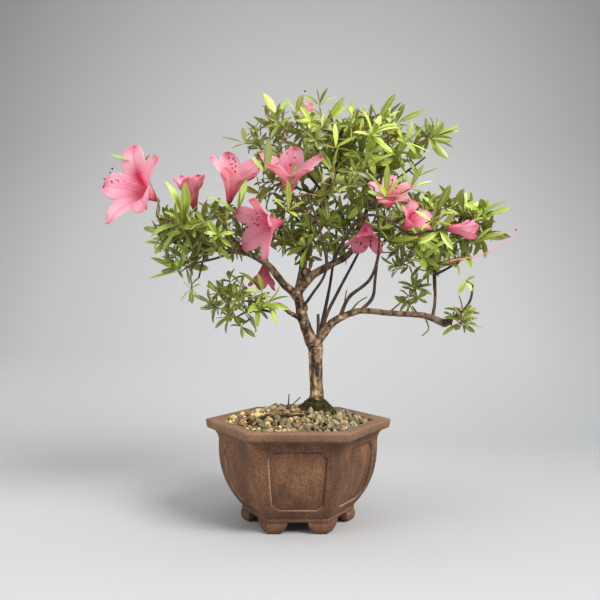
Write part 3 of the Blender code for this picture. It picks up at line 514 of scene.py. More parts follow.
# %% [markdown]
# ## Soil, gravel and moss
#
# The soil fills the pot in a low mound, edge + 3.4 mm + 11.6 mm (1 - (r / fill)^2.5). A top
# dressing of river gravel hides it, except where it was watered thin at the front left. A
# grain is a coarse ball cut by five random planes, which is what breaks river grit into
# facets, and over a thousand grains share one template, so each has only forty faces.

# %% Soil
chance = np.random.default_rng(11)
SOIL_EDGE, MOUND = RIM_TOP - 10 * MM, 15 * MM
FILL = float(np.interp(SOIL_EDGE, inner_z[::-1], inside_r[::-1])) - 0.5 * MM
GRAVEL_DEPTH, EDGE_RISE = 5.3 * MM, 3.4 * MM


def bare_patch(x, y):
    """1 in the thinly dressed patch at the front left, falling to 0 outside it."""
    away = np.hypot((x + 17 * MM) / (31 * MM), (y + 23 * MM) / (11 * MM))
    return 1 - smooth_step(away, 0.75, 1.15)


def ground(x, y):
    """Height of the soil's surface; r is the corner radius of the hexagon through the point."""
    turn = np.arctan2(y, x) % (math.pi / 3) - math.pi / 6
    r = np.hypot(x, y) * np.cos(turn) / FLAT
    return SOIL_EDGE + EDGE_RISE + (MOUND - EDGE_RISE) * (1 - np.clip(r / FILL, 0, 1) ** 2.5)


side_z = np.linspace(FLOOR_TOP + 1 * MM, SOIL_EDGE, 20)
side_r = np.interp(side_z, inner_z[::-1], inside_r[::-1]) - 0.5 * MM
top_r = np.linspace(FILL, 1.5 * MM, 44)
soil_profile = np.concatenate([[(5 * MM, FLOOR_TOP + 2.3 * MM), (26.5 * MM, FLOOR_TOP + 2.3 * MM),
                                (28 * MM, FLOOR_TOP + 0.5 * MM)], np.stack([side_r, side_z], -1),
                               np.stack([top_r, 0 * top_r + SOIL_EDGE], -1)])
soil_shares = np.repeat(np.linspace(0, 1, 26)[None, 1:-1], len(soil_profile), 0)
soil_a, soil_b = hexagon(corner_steps=5, side_shares=soil_shares)
soil_r = soil_profile[:, None, :1]
soil_ring = soil_a * soil_r + soil_b * np.minimum(soil_r / 3, 3 * MM)
soil_grid = np.concatenate([soil_ring, np.repeat(soil_profile[:, None, 1:], soil_ring.shape[1], 1)], -1)
is_top = (np.arange(len(soil_profile)) >= len(soil_profile) - len(top_r) + 1)[:, None]
x, y = soil_grid[..., 0], soil_grid[..., 1]
soil_level = ground(x, y) + 3.2 * MM * bare_patch(x, y)
soil_level += 0.9 * MM * noise(soil_grid, 4 * MM, 5) + 0.6 * MM * noise(soil_grid, 1.7 * MM, 6)
soil_grid[..., 2] = np.where(is_top, soil_level, soil_grid[..., 2])
soil_finish, tree, shader = new_finish("dark_akadama_soil", 0.9, Specular_IOR_Level=0.3)
place = object_place(tree)
crumb = mottle(tree, place, 0.0022)
# The soil is near black: partly its own dark colour, partly painted shade from under the tree.
earth = ramp(tree, crumb, [(0.30, "#120D08"), (0.50, "#261C11"), (0.66, "#42311D"),
                           (0.78, "#725838")])
tree.links.new(earth, shader.inputs["Base Color"])
rough_skin(tree, shader, crumb, 0.0012)
soil_quads, soil_caps = shell(*soil_grid.shape[:2])
piece("soil_fill", mesh_from("soil_fill", closed(soil_grid), soil_quads, soil_caps),
      soil_finish, "azalea_soil", "soil")

# %% Gravel grains
columns, rows = 8, 4
lat = (np.arange(rows) + 0.5) / rows * math.pi
lon = np.arange(columns) / columns * 2 * math.pi
grain_ball = np.stack([-np.sin(lat)[:, None] * np.cos(lon), np.sin(lat)[:, None] * np.sin(lon),
                       np.cos(lat)[:, None] + 0 * lon], -1)
grain_template = np.concatenate([grain_ball.reshape(-1, 3), [(0, 0, 1), (0, 0, -1)]])
grain_quads, grain_caps = shell(rows, columns)


def turns(count):
    """Random rotation matrices: Gram-Schmidt on random vectors."""
    first = unit(chance.normal(size=(count, 3)))
    second = unit(np.cross(first, chance.normal(size=(count, 3))))
    return np.stack([first, second, np.cross(first, second)], 1)


def broken(count, sizes, cuts=5):
    """Grains: unit balls cut flat by random planes, stretched to their sizes and turned at random."""
    balls = np.repeat(grain_template[None], count, 0)
    for _ in range(cuts):
        plane = unit(chance.normal(size=(count, 1, 3)))
        reach = (balls * plane).sum(-1, keepdims=True)
        excess = np.maximum(0, reach - chance.uniform(0.55, 0.9, (count, 1, 1)))
        balls = balls - excess * plane
    return np.einsum("nij,npj->npi", turns(count), balls * sizes[:, None])


def scattered(spacing, jitter, radius):
    """Places on a jittered triangular lattice inside the hexagon of a corner radius."""
    steps = np.arange(-30, 31)
    column, row = (a.ravel() for a in np.meshgrid(steps, steps))
    x, y = spacing * (column + row / 2), spacing * row * FLAT
    x, y = x + chance.uniform(-jitter, jitter, x.shape), y + chance.uniform(-jitter, jitter, y.shape)
    turn = np.arctan2(y, x) % (math.pi / 3) - math.pi / 6
    keep = np.hypot(x, y) * np.cos(turn) < radius * FLAT
    return x[keep], y[keep]


def moss_share(x, y, grow=0.0):
    """Below 1 inside the moss mound's outline on the ground."""
    return np.hypot((x - TREE_X) / (MOSS[0] + grow), y / (MOSS[1] + grow))


TREE_X, MOSS = 16.5 * MM, np.array([19.0, 16.5, 17.0]) * MM
x, y = scattered(3.8 * MM, 1.2 * MM, FILL - 1.2 * MM)
keep = (moss_share(x, y) > 0.84) & (chance.random(x.shape) > 0.86 * bare_patch(x, y))
x, y = x[keep], y[keep]
more_x, more_y = scattered(5.6 * MM, 2.4 * MM, FILL - 4 * MM)
bare = 0.3 + 0.65 * bare_patch(more_x, more_y)
keep = (moss_share(more_x, more_y) > 1.0) & (chance.random(more_x.shape) > bare)
layer = np.concatenate([np.zeros(len(x)), np.ones(keep.sum())])
x, y = np.concatenate([x, more_x[keep]]), np.concatenate([y, more_y[keep]])
size = np.clip(chance.lognormal(math.log(2.05), 0.30, len(x)), 1.1, 3.7) * MM
level = ground(x, y) + GRAVEL_DEPTH - 3.4 * MM + layer * 1.9 * MM + 0.2 * size
sizes = size[:, None] * np.stack([chance.uniform(0.95, 1.3, len(x)), chance.uniform(0.8, 1.05, len(x)),
                                  chance.uniform(0.6, 0.85, len(x))], -1)
grains = broken(len(x), sizes) + np.stack([x, y, level], -1)[:, None]
tint = np.clip(chance.normal(0.36, 0.28, len(x)) + 3.2 * x + 3.0 * np.abs(y), 0, 1)
gravel_mesh = mesh_from("gravel_grains", grains, copies(len(grain_template), grain_quads, len(x)),
                        copies(len(grain_template), grain_caps, len(x)),
                        {"tint": np.repeat(tint, len(grain_template)),
                         "shade": np.repeat(chance.random(len(x)), len(grain_template))})
gravel_mesh.set_sharp_from_angle(angle=math.radians(32))
pebble, tree, shader = new_finish("river_gravel", 0.72, Specular_IOR_Level=0.4)
place = object_place(tree)
tint_value = point_value(tree, "tint")
shade_value = point_value(tree, "shade")
stone_colour = ramp(tree, tint_value, [(0.03, "#E2D6B2"), (0.16, "#BC9A5C"), (0.30, "#C8BA8E"),
                                       (0.44, "#8A6B3A"), (0.58, "#B8AE8C"), (0.76, "#98947A"),
                                       (0.92, "#CCC6AC")])
stone_shade = ramp(tree, shade_value, [(0.0, "#403C36"), (0.5, "#706E68"), (1.0, "#A8A69E")])
stone_colour = blend(tree, 0.7, stone_colour, stone_shade, "OVERLAY")
speck = mottle(tree, place, 0.0009, detail=2.0)
spots = ramp(tree, speck, [(0.35, "#7A7A7A"), (0.6, "#B4B4B4")])
stone_colour = blend(tree, 0.45, stone_colour, spots, "OVERLAY")
tree.links.new(stone_colour, shader.inputs["Base Color"])
rough_skin(tree, shader, speck, 0.0002)
piece("gravel_grains", gravel_mesh, pebble, "river_gravel", "gravel_bed")

# %% Four larger stones
stone_nodes = [f"surface_stone_{i}" for i in (1, 2, 3, 4)]
stone_boxes = np.array([[tuple(corner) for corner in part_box(node)] for node in stone_nodes])
stone_sizes = (stone_boxes[:, 1] - stone_boxes[:, 0]) / 2 * 1.05
stones = broken(4, stone_sizes, cuts=3) + stone_boxes.mean(1)[:, None]
for node, points in zip(stone_nodes, stones):
    mesh = mesh_from(node + "_pebble", points, grain_quads, grain_caps,
                     {"tint": np.full(len(points), 0.32), "shade": np.full(len(points), 0.6)})
    piece(node + "_pebble", mesh, pebble, "river_gravel", node)

# %% Moss mound


def moss_top(x, y):
    """The clump's surface: a hollow-sided cone to the trunk, H (1 - r)^1.15, roughened in two sizes."""
    r = np.clip(moss_share(x, y), 0, 1)
    flat_place = np.stack([x, y, 0 * x], -1)
    rough = 1.5 * MM * noise(flat_place, 5.5 * MM, 8) + 0.9 * MM * noise(flat_place, 2.2 * MM, 9)
    return ground(x, y) + GRAVEL_DEPTH - 2.0 * MM + MOSS[2] * (1 - r) ** 1.15 + rough * (1.1 - r)


columns = 80
lon = np.arange(columns) / columns * 2 * math.pi
spread = np.concatenate([np.linspace(0.15, 1.12, 8), np.linspace(1.10, 0.03, 38)])[:, None]
moss_x = TREE_X + 2 * MM * spread + MOSS[0] * spread * np.cos(lon)
moss_y = MOSS[1] * spread * np.sin(lon)
is_under = (np.arange(len(spread)) < 8)[:, None]
moss_z = np.where(is_under, ground(moss_x, moss_y) - 2 * MM, moss_top(moss_x, moss_y))
moss_quads, moss_caps = shell(*moss_x.shape)
moss_points = closed(np.stack([moss_x, moss_y, moss_z], -1))

count = 2100
turn, away = chance.uniform(0, 2 * math.pi, count), np.sqrt(chance.uniform(0.04, 1.1, count))
root_x, root_y = TREE_X + 2 * MM * away + MOSS[0] * away * np.cos(turn), MOSS[1] * away * np.sin(turn)
root = np.stack([root_x, root_y, moss_top(root_x, root_y)], -1)
normal = unit(np.stack([np.cos(turn), np.sin(turn), 1.1 + 0 * turn], -1))
green_side = noise(root, 8 * MM, 12) + 0.9 * np.cos(turn) + 0.9 * away - 0.75
crop = (green_side > 0) | (chance.random(count) < 0.22)
root, normal = root[crop], normal[crop]
count = len(root)
around = turns(count)
way = unit(normal + 0.45 * chance.normal(size=(count, 3)) + [0, 0, 0.3])
a = unit(np.cross(way, around[:, 0]))
b = np.cross(way, a)
ring = np.arange(4) * math.pi / 2
spike = root[:, None] - way[:, None] * 0.4 * MM + 0.45 * MM * (
    np.cos(ring)[None, :, None] * a[:, None] + np.sin(ring)[None, :, None] * b[:, None])
tips = root + way * chance.uniform(0.7, 1.7, count)[:, None] * MM
tufts = np.concatenate([spike, tips[:, None]], 1)
no_tuft = np.zeros(len(moss_points))
tuft_faces = np.array([(0, 1, 4), (1, 2, 4), (2, 3, 4), (3, 0, 4), (2, 1, 0), (3, 2, 0)])
moss_mesh = mesh_from("moss_clump", np.concatenate([moss_points, tufts.reshape(-1, 3)]), moss_quads,
                      np.concatenate([moss_caps, copies(5, tuft_faces, count) + len(moss_points)]),
                      {"tuft": np.append(no_tuft, np.tile([0.4, 0.4, 0.4, 0.4, 1.0], count)),
                       "shade": np.append(no_tuft, np.repeat(chance.random(count), 5))})
moss_finish, tree, shader = new_finish("root_moss", 0.95, Specular_IOR_Level=0.2)
place = object_place(tree)
patch = mottle(tree, place, 0.008)
peat = ramp(tree, patch, [(0.35, "#16110A"), (0.52, "#281F12"), (0.66, "#3C361A")])
blades = ramp(tree, point_value(tree, "shade"),
              [(0.0, "#27260F"), (0.5, "#42421C"), (0.85, "#68662E"), (1.0, "#A89E58")])
moss_colour = blend(tree, point_value(tree, "tuft"),
                    peat, blades)
tree.links.new(moss_colour, shader.inputs["Base Color"])
rough_skin(tree, shader, mottle(tree, place, 0.0015), 0.0008)
piece("moss_clump", moss_mesh, moss_finish, "moss", "moss_mound")

# %% [markdown]
# ## Wood
#
# Every limb is a tube carried along a smooth curve through a few drawn points. The trunk and
# the arms are joined by a voxel remesh, as wood grows over its forks, and then the bark is
# worked in: long shallow furrows, loose flakes, and the wrinkled collar under the first fork.
# Thin twigs need no such care and stay as tubes.

# %% Curves and tubes
lat, lon = np.linspace(math.pi - 0.2, 0.2, 9), np.arange(9) / 9 * 2 * math.pi
ball = np.stack([np.sin(lat)[:, None] * np.cos(lon), np.sin(lat)[:, None] * np.sin(lon),
                 np.cos(lat)[:, None] + 0 * lon], -1)


def smooth_path(points, spacing):
    """Catmull-Rom curve through points: 0.5(2b + (c-a)t + (2a-5b+4c-d)t2 + (3b-a-3c+d)t3)."""
    points = np.asarray(points, float)
    padded = np.concatenate([2 * points[:1] - points[1:2], points, 2 * points[-1:] - points[-2:-1]])
    length = np.linalg.norm(np.diff(points[:, :3], axis=0), axis=1)
    pieces = []
    for a, b, c, d, run in zip(padded, padded[1:], padded[2:], padded[3:], length):
        t = (np.arange(max(2, round(run / spacing))) / max(2, round(run / spacing)))[:, None]
        pieces.append((2 * b + (c - a) * t + (2 * a - 5 * b + 4 * c - d) * t ** 2
                       + (3 * b - a - 3 * c + d) * t ** 3) / 2)
    return np.concatenate([*pieces, points[-1:]])


def tube(path, radii, sides=8):
    """Points of a closed tube: centre + r (cos u a + sin u b), with a and b square to the path."""
    tangent = unit(np.gradient(path, axis=0))
    reference = np.eye(3)[np.argmin(np.abs(tangent).max(0))]
    a = unit(np.cross(reference, tangent))
    b = np.cross(tangent, a)
    u = np.arange(sides) / sides * 2 * math.pi
    ring = np.cos(u)[None, :, None] * a[:, None] + np.sin(u)[None, :, None] * b[:, None]
    return closed(path[:, None] + ring * np.asarray(radii)[:, None, None])


class Bundle:
    """Many closed shapes gathered into one mesh, with one value per point for each attribute."""

    def __init__(self, *attributes):
        self.points, self.quads, self.triangles, self.size = [], [], [], 0
        self.attributes = {key: [] for key in attributes}

    def put(self, points, quads, triangles, **values):
        self.points.append(points)
        self.quads.append(np.asarray(quads) + self.size)
        self.triangles.append(np.asarray(triangles) + self.size)
        self.size += len(points)
        for key, store in self.attributes.items():
            store.append(np.broadcast_to(values.get(key, 0.0), len(points)))

    def put_tube(self, path, radii, sides=8, **values):
        self.put(tube(path, radii, sides), *shell(len(path), sides), **values)

    def mesh(self, name):
        attributes = {key: np.concatenate(store) for key, store in self.attributes.items()}
        return mesh_from(name, np.concatenate(self.points), np.concatenate(self.quads),
                         np.concatenate(self.triangles), attributes)


# %% The limbs
# Each limb's route in mm, then its first and last radius, or one radius per point.
LIMBS = {
    "trunk": ([(15, 0, 68), (16.5, 0, 92), (17, 0, 106), (16.2, 0, 134), (15.6, 0, 150),
               (15.4, 0, 159)],
              [8.0, 8.2, 6.6, 6.0, 6.4, 5.6]),
    "root_left": ([(16, 0, 82), (2, -3, 79), (-10, -6, 71), (-20, -8, 60)], [4.6, 3.0]),
    "root_right": ([(16, 0, 82), (28, -4, 78), (37, -8, 70), (42, -10, 60)], [4.2, 2.6]),
    "root_back": ([(16, 0, 80), (17, 14, 76), (20, 26, 66)], [4.0, 2.6]),
    "root_front": ([(16, 0, 80), (12, -14, 76), (8, -26, 66)], [4.0, 2.6]),
    "leader": ([(15, 0, 153), (9, 0, 167), (4, 0, 182), (2, 2, 192), (0, 3, 203), (2, 4, 212),
                (6, 8, 235), (10, 12, 252), (18, 14, 274), (26, 12, 292), (32, 8, 310)], [5.7, 2.0]),
    "right_fork": ([(1, 4, 205), (12, -2, 218), (20, -6, 223), (31, -10, 229), (41, -14, 234),
                    (49, -16, 243), (56, -14, 259), (62, -10, 281)], [4.2, 1.8]),
    "left_arm": ([(0, 3, 198), (-6, 0, 205), (-13, -4, 211), (-27, -10, 228), (-46, -12, 238),
                  (-67, -14, 240), (-86, -12, 245)], [4.3, 1.7]),
    "right_arm": ([(15, 0, 155), (20, -2, 163), (28, -6, 174), (38, -10, 181), (55, -14, 187),
                   (81, -14, 185), (110, -14, 183), (129, -14, 176.5), (134, -14, 180)],
                  [4.2, 4.0, 3.7, 3.2, 2.8, 2.6, 2.7, 3.3, 2.6]),
    "left_low": ([(3, 0, 180), (-7, -4, 185), (-18, -10, 193), (-39, -16, 189), (-55, -20, 181)],
                 [2.2, 1.0]),
    "cut_stub": ([(17, -2, 160), (18, -4, 170), (18, -5, 184)], [1.6, 1.3]),
    "twig_back": ([(18, 0, 160), (24, 8, 185), (30, 20, 213), (35, 40, 245), (40, 60, 284)],
                  [1.8, 0.8]),
    "twig_inner": ([(22, -4, 166), (25, -6, 182), (36, 0, 204), (53, 14, 235), (70, 30, 268),
                    (84, 42, 300)], [1.8, 0.8]),
    "twig_front": ([(4, 0, 190), (12, -12, 201), (24, -28, 222), (20, -44, 250), (8, -56, 284)],
                   [1.6, 0.8]),
    "twig_low": ([(37, -10, 181), (45, -14, 199), (63, -28, 216), (68, -46, 245), (62, -62, 288)],
                 [1.9, 0.8]),
    "twig_curl": ([(55, -14, 187), (66, -11, 199), (69, -6, 217), (74, 6, 240), (86, 18, 264)],
                  [1.7, 0.8]),
    "arch_twig": ([(31, -10, 229), (35, -26, 240), (42, -38, 252), (52, -50, 265), (69, -56, 265),
                   (93, -52, 251), (112, -44, 256)], [1.6, 0.9]),
    "riser": ([(118, -14, 180), (121, -12, 195), (122, -8, 220), (124, -8, 242)], [1.7, 0.8]),
    "riser_outer": ([(122, -8, 219), (134, -17, 226), (144, -22, 234), (148, -24, 247)], [1.2, 0.8]),
    "riser_back": ([(121, -11, 205), (124, 16, 230), (124, 40, 248)], [1.3, 0.8]),
    "hook": ([(131, -14, 178), (145, -14, 187), (152, -14, 197), (153, -18, 210)], [1.5, 0.9]),
    "crown_left": ([(32, 8, 308), (20, -8, 326), (8, -18, 340)], [1.4, 0.8]),
    "crown_mid": ([(32, 8, 307), (38, 0, 328), (42, -6, 343)], [1.6, 0.8]),
    "crown_right": ([(62, -10, 278), (70, -16, 305), (78, -24, 331)], [1.5, 0.8]),
    "shoulder_right": ([(62, -10, 276), (84, -12, 300), (112, -16, 322)], [1.4, 0.8]),
    "shoulder_left": ([(26, 12, 291), (8, -2, 310), (-16, -16, 326)], [1.4, 0.8]),
    "back_left": ([(25, 12, 289), (8, 35, 300), (-10, 52, 308)], [1.2, 0.8]),
    "back_top": ([(31, 9, 306), (36, 30, 322), (40, 46, 331)], [1.2, 0.8]),
    "back_low": ([(7, 8, 237), (10, 34, 250), (16, 62, 262)], [1.3, 0.8]),
    "left_tip": ([(-84, -12, 244), (-103, -12, 243), (-112, -10, 254), (-117, -8, 263)], [1.5, 0.9]),
    "left_hang": ([(-58, -13, 239), (-72, -18, 233), (-87, -22, 229), (-98, -25, 224)], [1.1, 0.8]),
    "left_drop": ([(-80, -13, 243), (-84, -14, 230), (-87, -16, 216)], [1.0, 0.8]),
    "left_front": ([(-46, -12, 238), (-55, -35, 249), (-62, -54, 260)], [1.2, 0.8]),
    "left_back": ([(-64, -14, 240), (-73, 15, 251), (-82, 40, 260)], [1.2, 0.8]),
    "left_rise": ([(-35, -11, 232), (-41, -8, 254), (-44, -6, 272)], [1.1, 0.8]),
    "bloom_1": ([(-108, -12, 249), (-119, -3, 262), (-127, 3, 272)], [1.1, 0.8]),
    "bloom_2": ([(-84, -12, 244), (-91, -2, 257), (-94, 5, 267)], [1.0, 0.8]),
    "bloom_3": ([(-60, -13, 239), (-63, -9, 256), (-65, -6, 272)], [1.0, 0.8]),
    "bloom_4": ([(7, 8, 237), (2, -8, 247), (-6, -18, 256)], [1.1, 0.8]),
    "bloom_5": ([(11, 12, 254), (2, -2, 265), (-4, -12, 274)], [1.1, 0.8]),
    "bloom_6": ([(-26, -10, 227), (-28, 4, 233), (-28, 14, 234)], [1.0, 0.8]),
    "bloom_7": ([(49, -16, 243), (54, -14, 250), (58, -17, 256)], [1.0, 0.8]),
    "bloom_8": ([(62, -10, 277), (70, -20, 278), (74, -27, 281)], [1.0, 0.8]),
    "bloom_9": ([(78, -55, 260), (86, -51, 264), (92, -49, 267)], [1.0, 0.8]),
    "bloom_10": ([(106, -47, 253.5), (117, -52, 255), (128, -50, 262)], [1.0, 0.8]),
    "bloom_11": ([(20, -8, 325), (15, -2, 336), (12, 4, 347)], [1.0, 0.8]),
}
SEAT = np.array([0.0, 0.0, 0.5])           # the drawn tree stands this much higher, in mm
THICK = [name for name, (route, sizes) in LIMBS.items() if max(sizes) > 2.0]


def limb(name, spacing=1.2):
    """A limb's path in metres and its radii along it."""
    route, sizes = LIMBS[name]
    route = np.array(route, float) + SEAT
    if len(sizes) < len(route):
        sizes = np.linspace(sizes[0], sizes[-1], len(route))
    drawn = np.concatenate([route, np.array(sizes)[:, None]], 1)
    path = smooth_path(drawn, spacing)
    return path[:, :3] * MM, path[:, 3] * MM


BARK_VOXEL = 0.62 * MM
wood = Bundle()
for name in THICK:
    path, radii = limb(name)
    wood.put_tube(path, radii, sides=14)
KNOTS = ((129, -14, 177, 4.3), (15, 0, 158, 6.6), (3.5, 2, 190, 5.6), (8, 1, 222, 4.6))
for x, y, z, r in KNOTS:                   # centre and radius in mm of the swelling at a fork
    swelling = np.array([x, y, z]) * MM + ball * np.array([r, r, r * 0.9]) * MM
    wood.put(closed(swelling), *shell(*ball.shape[:2]))
rough = bpy.data.objects.new("joined_wood", wood.mesh("joined_wood"))
bpy.context.scene.collection.objects.link(rough)
remesh = rough.modifiers.new("join", "REMESH")
remesh.mode, remesh.voxel_size = "VOXEL", BARK_VOXEL
graph = bpy.context.evaluated_depsgraph_get()
bark_mesh = bpy.data.meshes.new_from_object(rough.evaluated_get(graph))
bpy.data.objects.remove(rough)
places, normals = point_places(bark_mesh), point_normals(bark_mesh)
print("joined wood:", len(places), "points")

# %% [markdown]
# ### Bark
#
# Furrows run along the limb, so their noise is stretched: cells 2.6 mm wide and 9 mm tall
# on the trunk. The collar is a set of tight rings that die away within 5 mm of its height. All
# of it fades with the limb's thickness, which is read here from height and distance.

# %% Bark
TRUNK_X = 14 * MM
beside = places[:, 0] - TRUNK_X
on_trunk = (smooth_step(-places[:, 2], -0.215, -0.160)
            * smooth_step(-np.hypot(beside, places[:, 1]), -0.02, -0.012))
aged = smooth_step(-places[:, 2], -0.260, -0.190) * smooth_step(-np.abs(beside), -0.055, -0.025)
depth = (0.30 + 0.55 * on_trunk) * MM
furrow = noise(places * [1, 1, 0.28], 2.6 * MM, 21) + 0.5 * noise(places * [1, 1, 0.4], 1.3 * MM, 22)
knots = noise(places, 7 * MM, 23)
collar = np.exp(-((places[:, 2] - 157 * MM) / (4.5 * MM)) ** 2) * on_trunk
rings = np.sin((places[:, 2] + 0.6 * MM * noise(places, 5 * MM, 24)) / MM * 2.1)
swell = depth * (0.55 * furrow + 0.7 * knots) + collar * (0.55 + 0.45 * rings) * MM
places = places + normals * swell[:, None]
bark_mesh.vertices.foreach_set("co", places.astype(np.float32).ravel())
plates = 0.7 * noise(places * [1, 1, 0.6], 3.4 * MM, 25) + 0.8 * noise(places, 1.5 * MM, 26)
ragged = 1 + 0.5 * noise(places, 1.8 * MM, 27)
SCARS = (((15.6, -6.6, 113.8), 1.7, 0.9), ((20.4, -5.6, 113.0), 1.4, 0.45))
scars = [strength * np.exp(-(np.linalg.norm(places - np.array(spot) * MM, axis=1) * ragged
                             / (r * MM)) ** 4) for spot, r, strength in SCARS]
for key, values in (("furrow", np.clip(0.5 + 0.6 * furrow, 0, 1)), ("age", np.clip(0.3 + aged, 0, 1)),
                    ("plate", np.clip(0.5 + 0.42 * plates, 0, 1)), ("scar", scars[0] + scars[1])):
    layer = bark_mesh.attributes.new(key, "FLOAT", "POINT")
    layer.data.foreach_set("value", values.astype(np.float32))
bark_mesh.polygons.foreach_set("use_smooth", np.ones(len(bark_mesh.polygons), bool))
bark_mesh.update()
bark, tree, shader = new_finish("azalea_bark", 0.82, Specular_IOR_Level=0.3)
place = object_place(tree)
long_place = add(tree, "Mapping", {"Vector": place, "Scale": (1.0, 1.0, 0.3)}).outputs["Vector"]
flake = mottle(tree, long_place, 0.0035, detail=5.0)
furrow_value = point_value(tree, "furrow")
age_value = point_value(tree, "age")
young = ramp(tree, flake, [(0.35, "#4A3A2B"), (0.52, "#6F5B45"), (0.70, "#A08666")])
plate_value = point_value(tree, "plate")
old = ramp(tree, plate_value, [(0.18, "#3A2D22"), (0.36, "#6E5843"), (0.54, "#8F7358"),
                               (0.70, "#B09270"), (0.88, "#D2B28A")])
bark_colour = blend(tree, age_value, young, old)
# Painted shade: the bark is darkened in its furrows, where shade falls.
painted_recess_shade = ramp(tree, furrow_value, [(0.12, "#6A625C"), (0.45, "#C8C8C8"), (0.9, "#F4F4F4")])
bark_colour = blend(tree, 0.85, bark_colour, painted_recess_shade, "MULTIPLY")
scar_value = point_value(tree, "scar")
bark_colour = blend(tree, scar_value, bark_colour, "#D2C88C")
tree.links.new(bark_colour, shader.inputs["Base Color"])
rough_skin(tree, shader, flake, 0.0009)
piece("bark", bark_mesh, bark, "azalea_bark", "trunk_and_branches")

# %% [markdown]
# ## Where the foliage is
#
# An azalea carries its leaves in whorls at the ends of short twigs. The whorls fill a few
# cushions: a wide dome, a shoulder on the right, and flatter pads on the left. Whorl centres
# are thrown at random into those cushions, kept 8.5 mm apart, and kept out of the
# space in front of each flower. Each one is then joined to the nearest wood by a fine twig,
# nearest first, so twigs branch from twigs.

# %% Whorl centres
# Each flower: where its petals start in mm, its axis, its size as a share of an ordinary petal's
# length, how far its petals open and how far it is rolled in degrees, and how much painted shade
# deepens its pink where it sits in shadow.
FLOWERS = [
    ((-129, 3, 288), (-0.58, -0.75, 0.31), 1.13, 94, -14, 0.0),
    ((-94, 8, 280), (-0.16, -0.26, 0.95), 0.68, 38, 0, 0.1),
    ((-61, -9, 284), (0.24, -0.45, 0.86), 0.92, 54, 0, 0.0),
    ((-14, -27, 264), (-0.76, -0.60, -0.24), 0.86, 74, 20, 0.3),
    ((-8, -23, 287), (0.06, -0.50, 0.86), 0.95, 72, 10, 0.0),
    ((-30, 20, 231), (-0.15, 0.25, -0.95), 0.55, 45, 0, 0.9),
    ((60, -24, 264), (-0.10, -0.36, -0.93), 0.62, 64, 0, 0.6),
    ((78, -30, 277), (0.02, -0.74, 0.67), 0.60, 80, 0, 0.2),
    ((90, -46, 257), (0.50, -0.68, 0.54), 0.50, 72, 10, 0.4),
    ((125, -47, 256), (0.95, -0.30, -0.06), 0.52, 22, 0, 0.3),
    ((8, 9, 360), (-0.06, 0.10, 0.98), 0.34, 28, 0, 0.2),
]
OPEN_FLOWER, SPENT_TWIG = 0, 9             # the wide one at the left; the one by a faded flower
PETAL = 47.0 * MM
flower_base = (np.array([f[0] for f in FLOWERS]) + SEAT) * MM
flower_axis = unit([f[1] for f in FLOWERS])
flower_size = np.array([f[2] for f in FLOWERS]) * PETAL
flower_middle = flower_base + flower_axis * flower_size[:, None] * 0.55

# Cushions: centre and half-sizes in mm, how many whorls, and the share of them with large new leaves.
CUSHIONS = [
    ((2, 2, 338), (54, 54, 27), 58, 0.22), ((65, 0, 339), (41, 52, 26), 46, 0.25),
    ((117, -8, 345), (8, 10, 8), 3, 0.6), ((28, 4, 298), (72, 66, 28), 66, 0.2),
    ((117, -4, 264), (45, 50, 23), 46, 0.22), ((155, -10, 261), (14, 20, 15), 9, 0.4),
    ((117, -2, 233), (38, 34, 13), 22, 0.05), ((-70, -2, 259), (48, 52, 20), 56, 0.1),
    ((-103, -4, 263), (20, 34, 17), 14, 0.15), ((-104, -14, 233), (13, 16, 13), 5, 0.2),
    ((16, 8, 257), (46, 42, 24), 50, 0.05), ((-50, -16, 199), (32, 20, 18), 22, 0.1),
    ((102, -8, 202), (9, 10, 12), 5, 0.0), ((142, -16, 180), (9, 12, 9), 4, 0.1),
]


def keeps_clear(points, room=0.0):
    """True for points outside every flower and outside the way to it from the front."""
    offset = points[:, None] - flower_middle[None]
    near = np.linalg.norm(offset, axis=-1) < flower_size * 0.60 + room
    ahead = offset[..., 1] < 0.2 * flower_size
    front = np.hypot(offset[..., 0], offset[..., 2]) < flower_size * 0.55 + room
    return ~(near | (ahead & front)).any(1)


limb_points = np.concatenate([limb(name, 3.0)[0] for name in LIMBS if not name.startswith("root")])
limb_points = limb_points[limb_points[:, 2] > 0.165]
shoot_nodes = [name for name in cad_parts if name.startswith("shoot_")]
shoot_middle = np.array([[(a + b) / 2 for a, b in zip(*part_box(name))] for name in shoot_nodes])
WHORL_GAP = 8.5 * MM
centres, outward, large = [], [], []
for middle, half, wanted, big_share in CUSHIONS:
    middle, half, found = np.array(middle) * MM, np.array(half) * MM, 0
    tries = wanted * 14
    throws = unit(chance.normal(size=(tries, 3))) * chance.uniform(0.25, 1, (tries, 1)) ** 0.42
    spots = middle + throws * half
    free = keeps_clear(spots, 4 * MM)
    for spot, throw in zip(spots[free], throws[free]):
        if found == wanted:
            break
        if not centres or np.linalg.norm(np.array(centres) - spot, axis=1).min() > WHORL_GAP:
            centres.append(spot)
            outward.append(throw)
            large.append(np.linalg.norm(throw) > 0.62 and chance.random() < 1.6 * big_share)
            found += 1
whorl = np.array(centres)
facing = unit(np.array(outward) * [1, 1, 0.8] + [0, 0, 0.55] + 0.25 * chance.normal(size=whorl.shape))
depth_inside = np.linalg.norm(np.array(outward), axis=1)
print("whorls:", len(whorl))

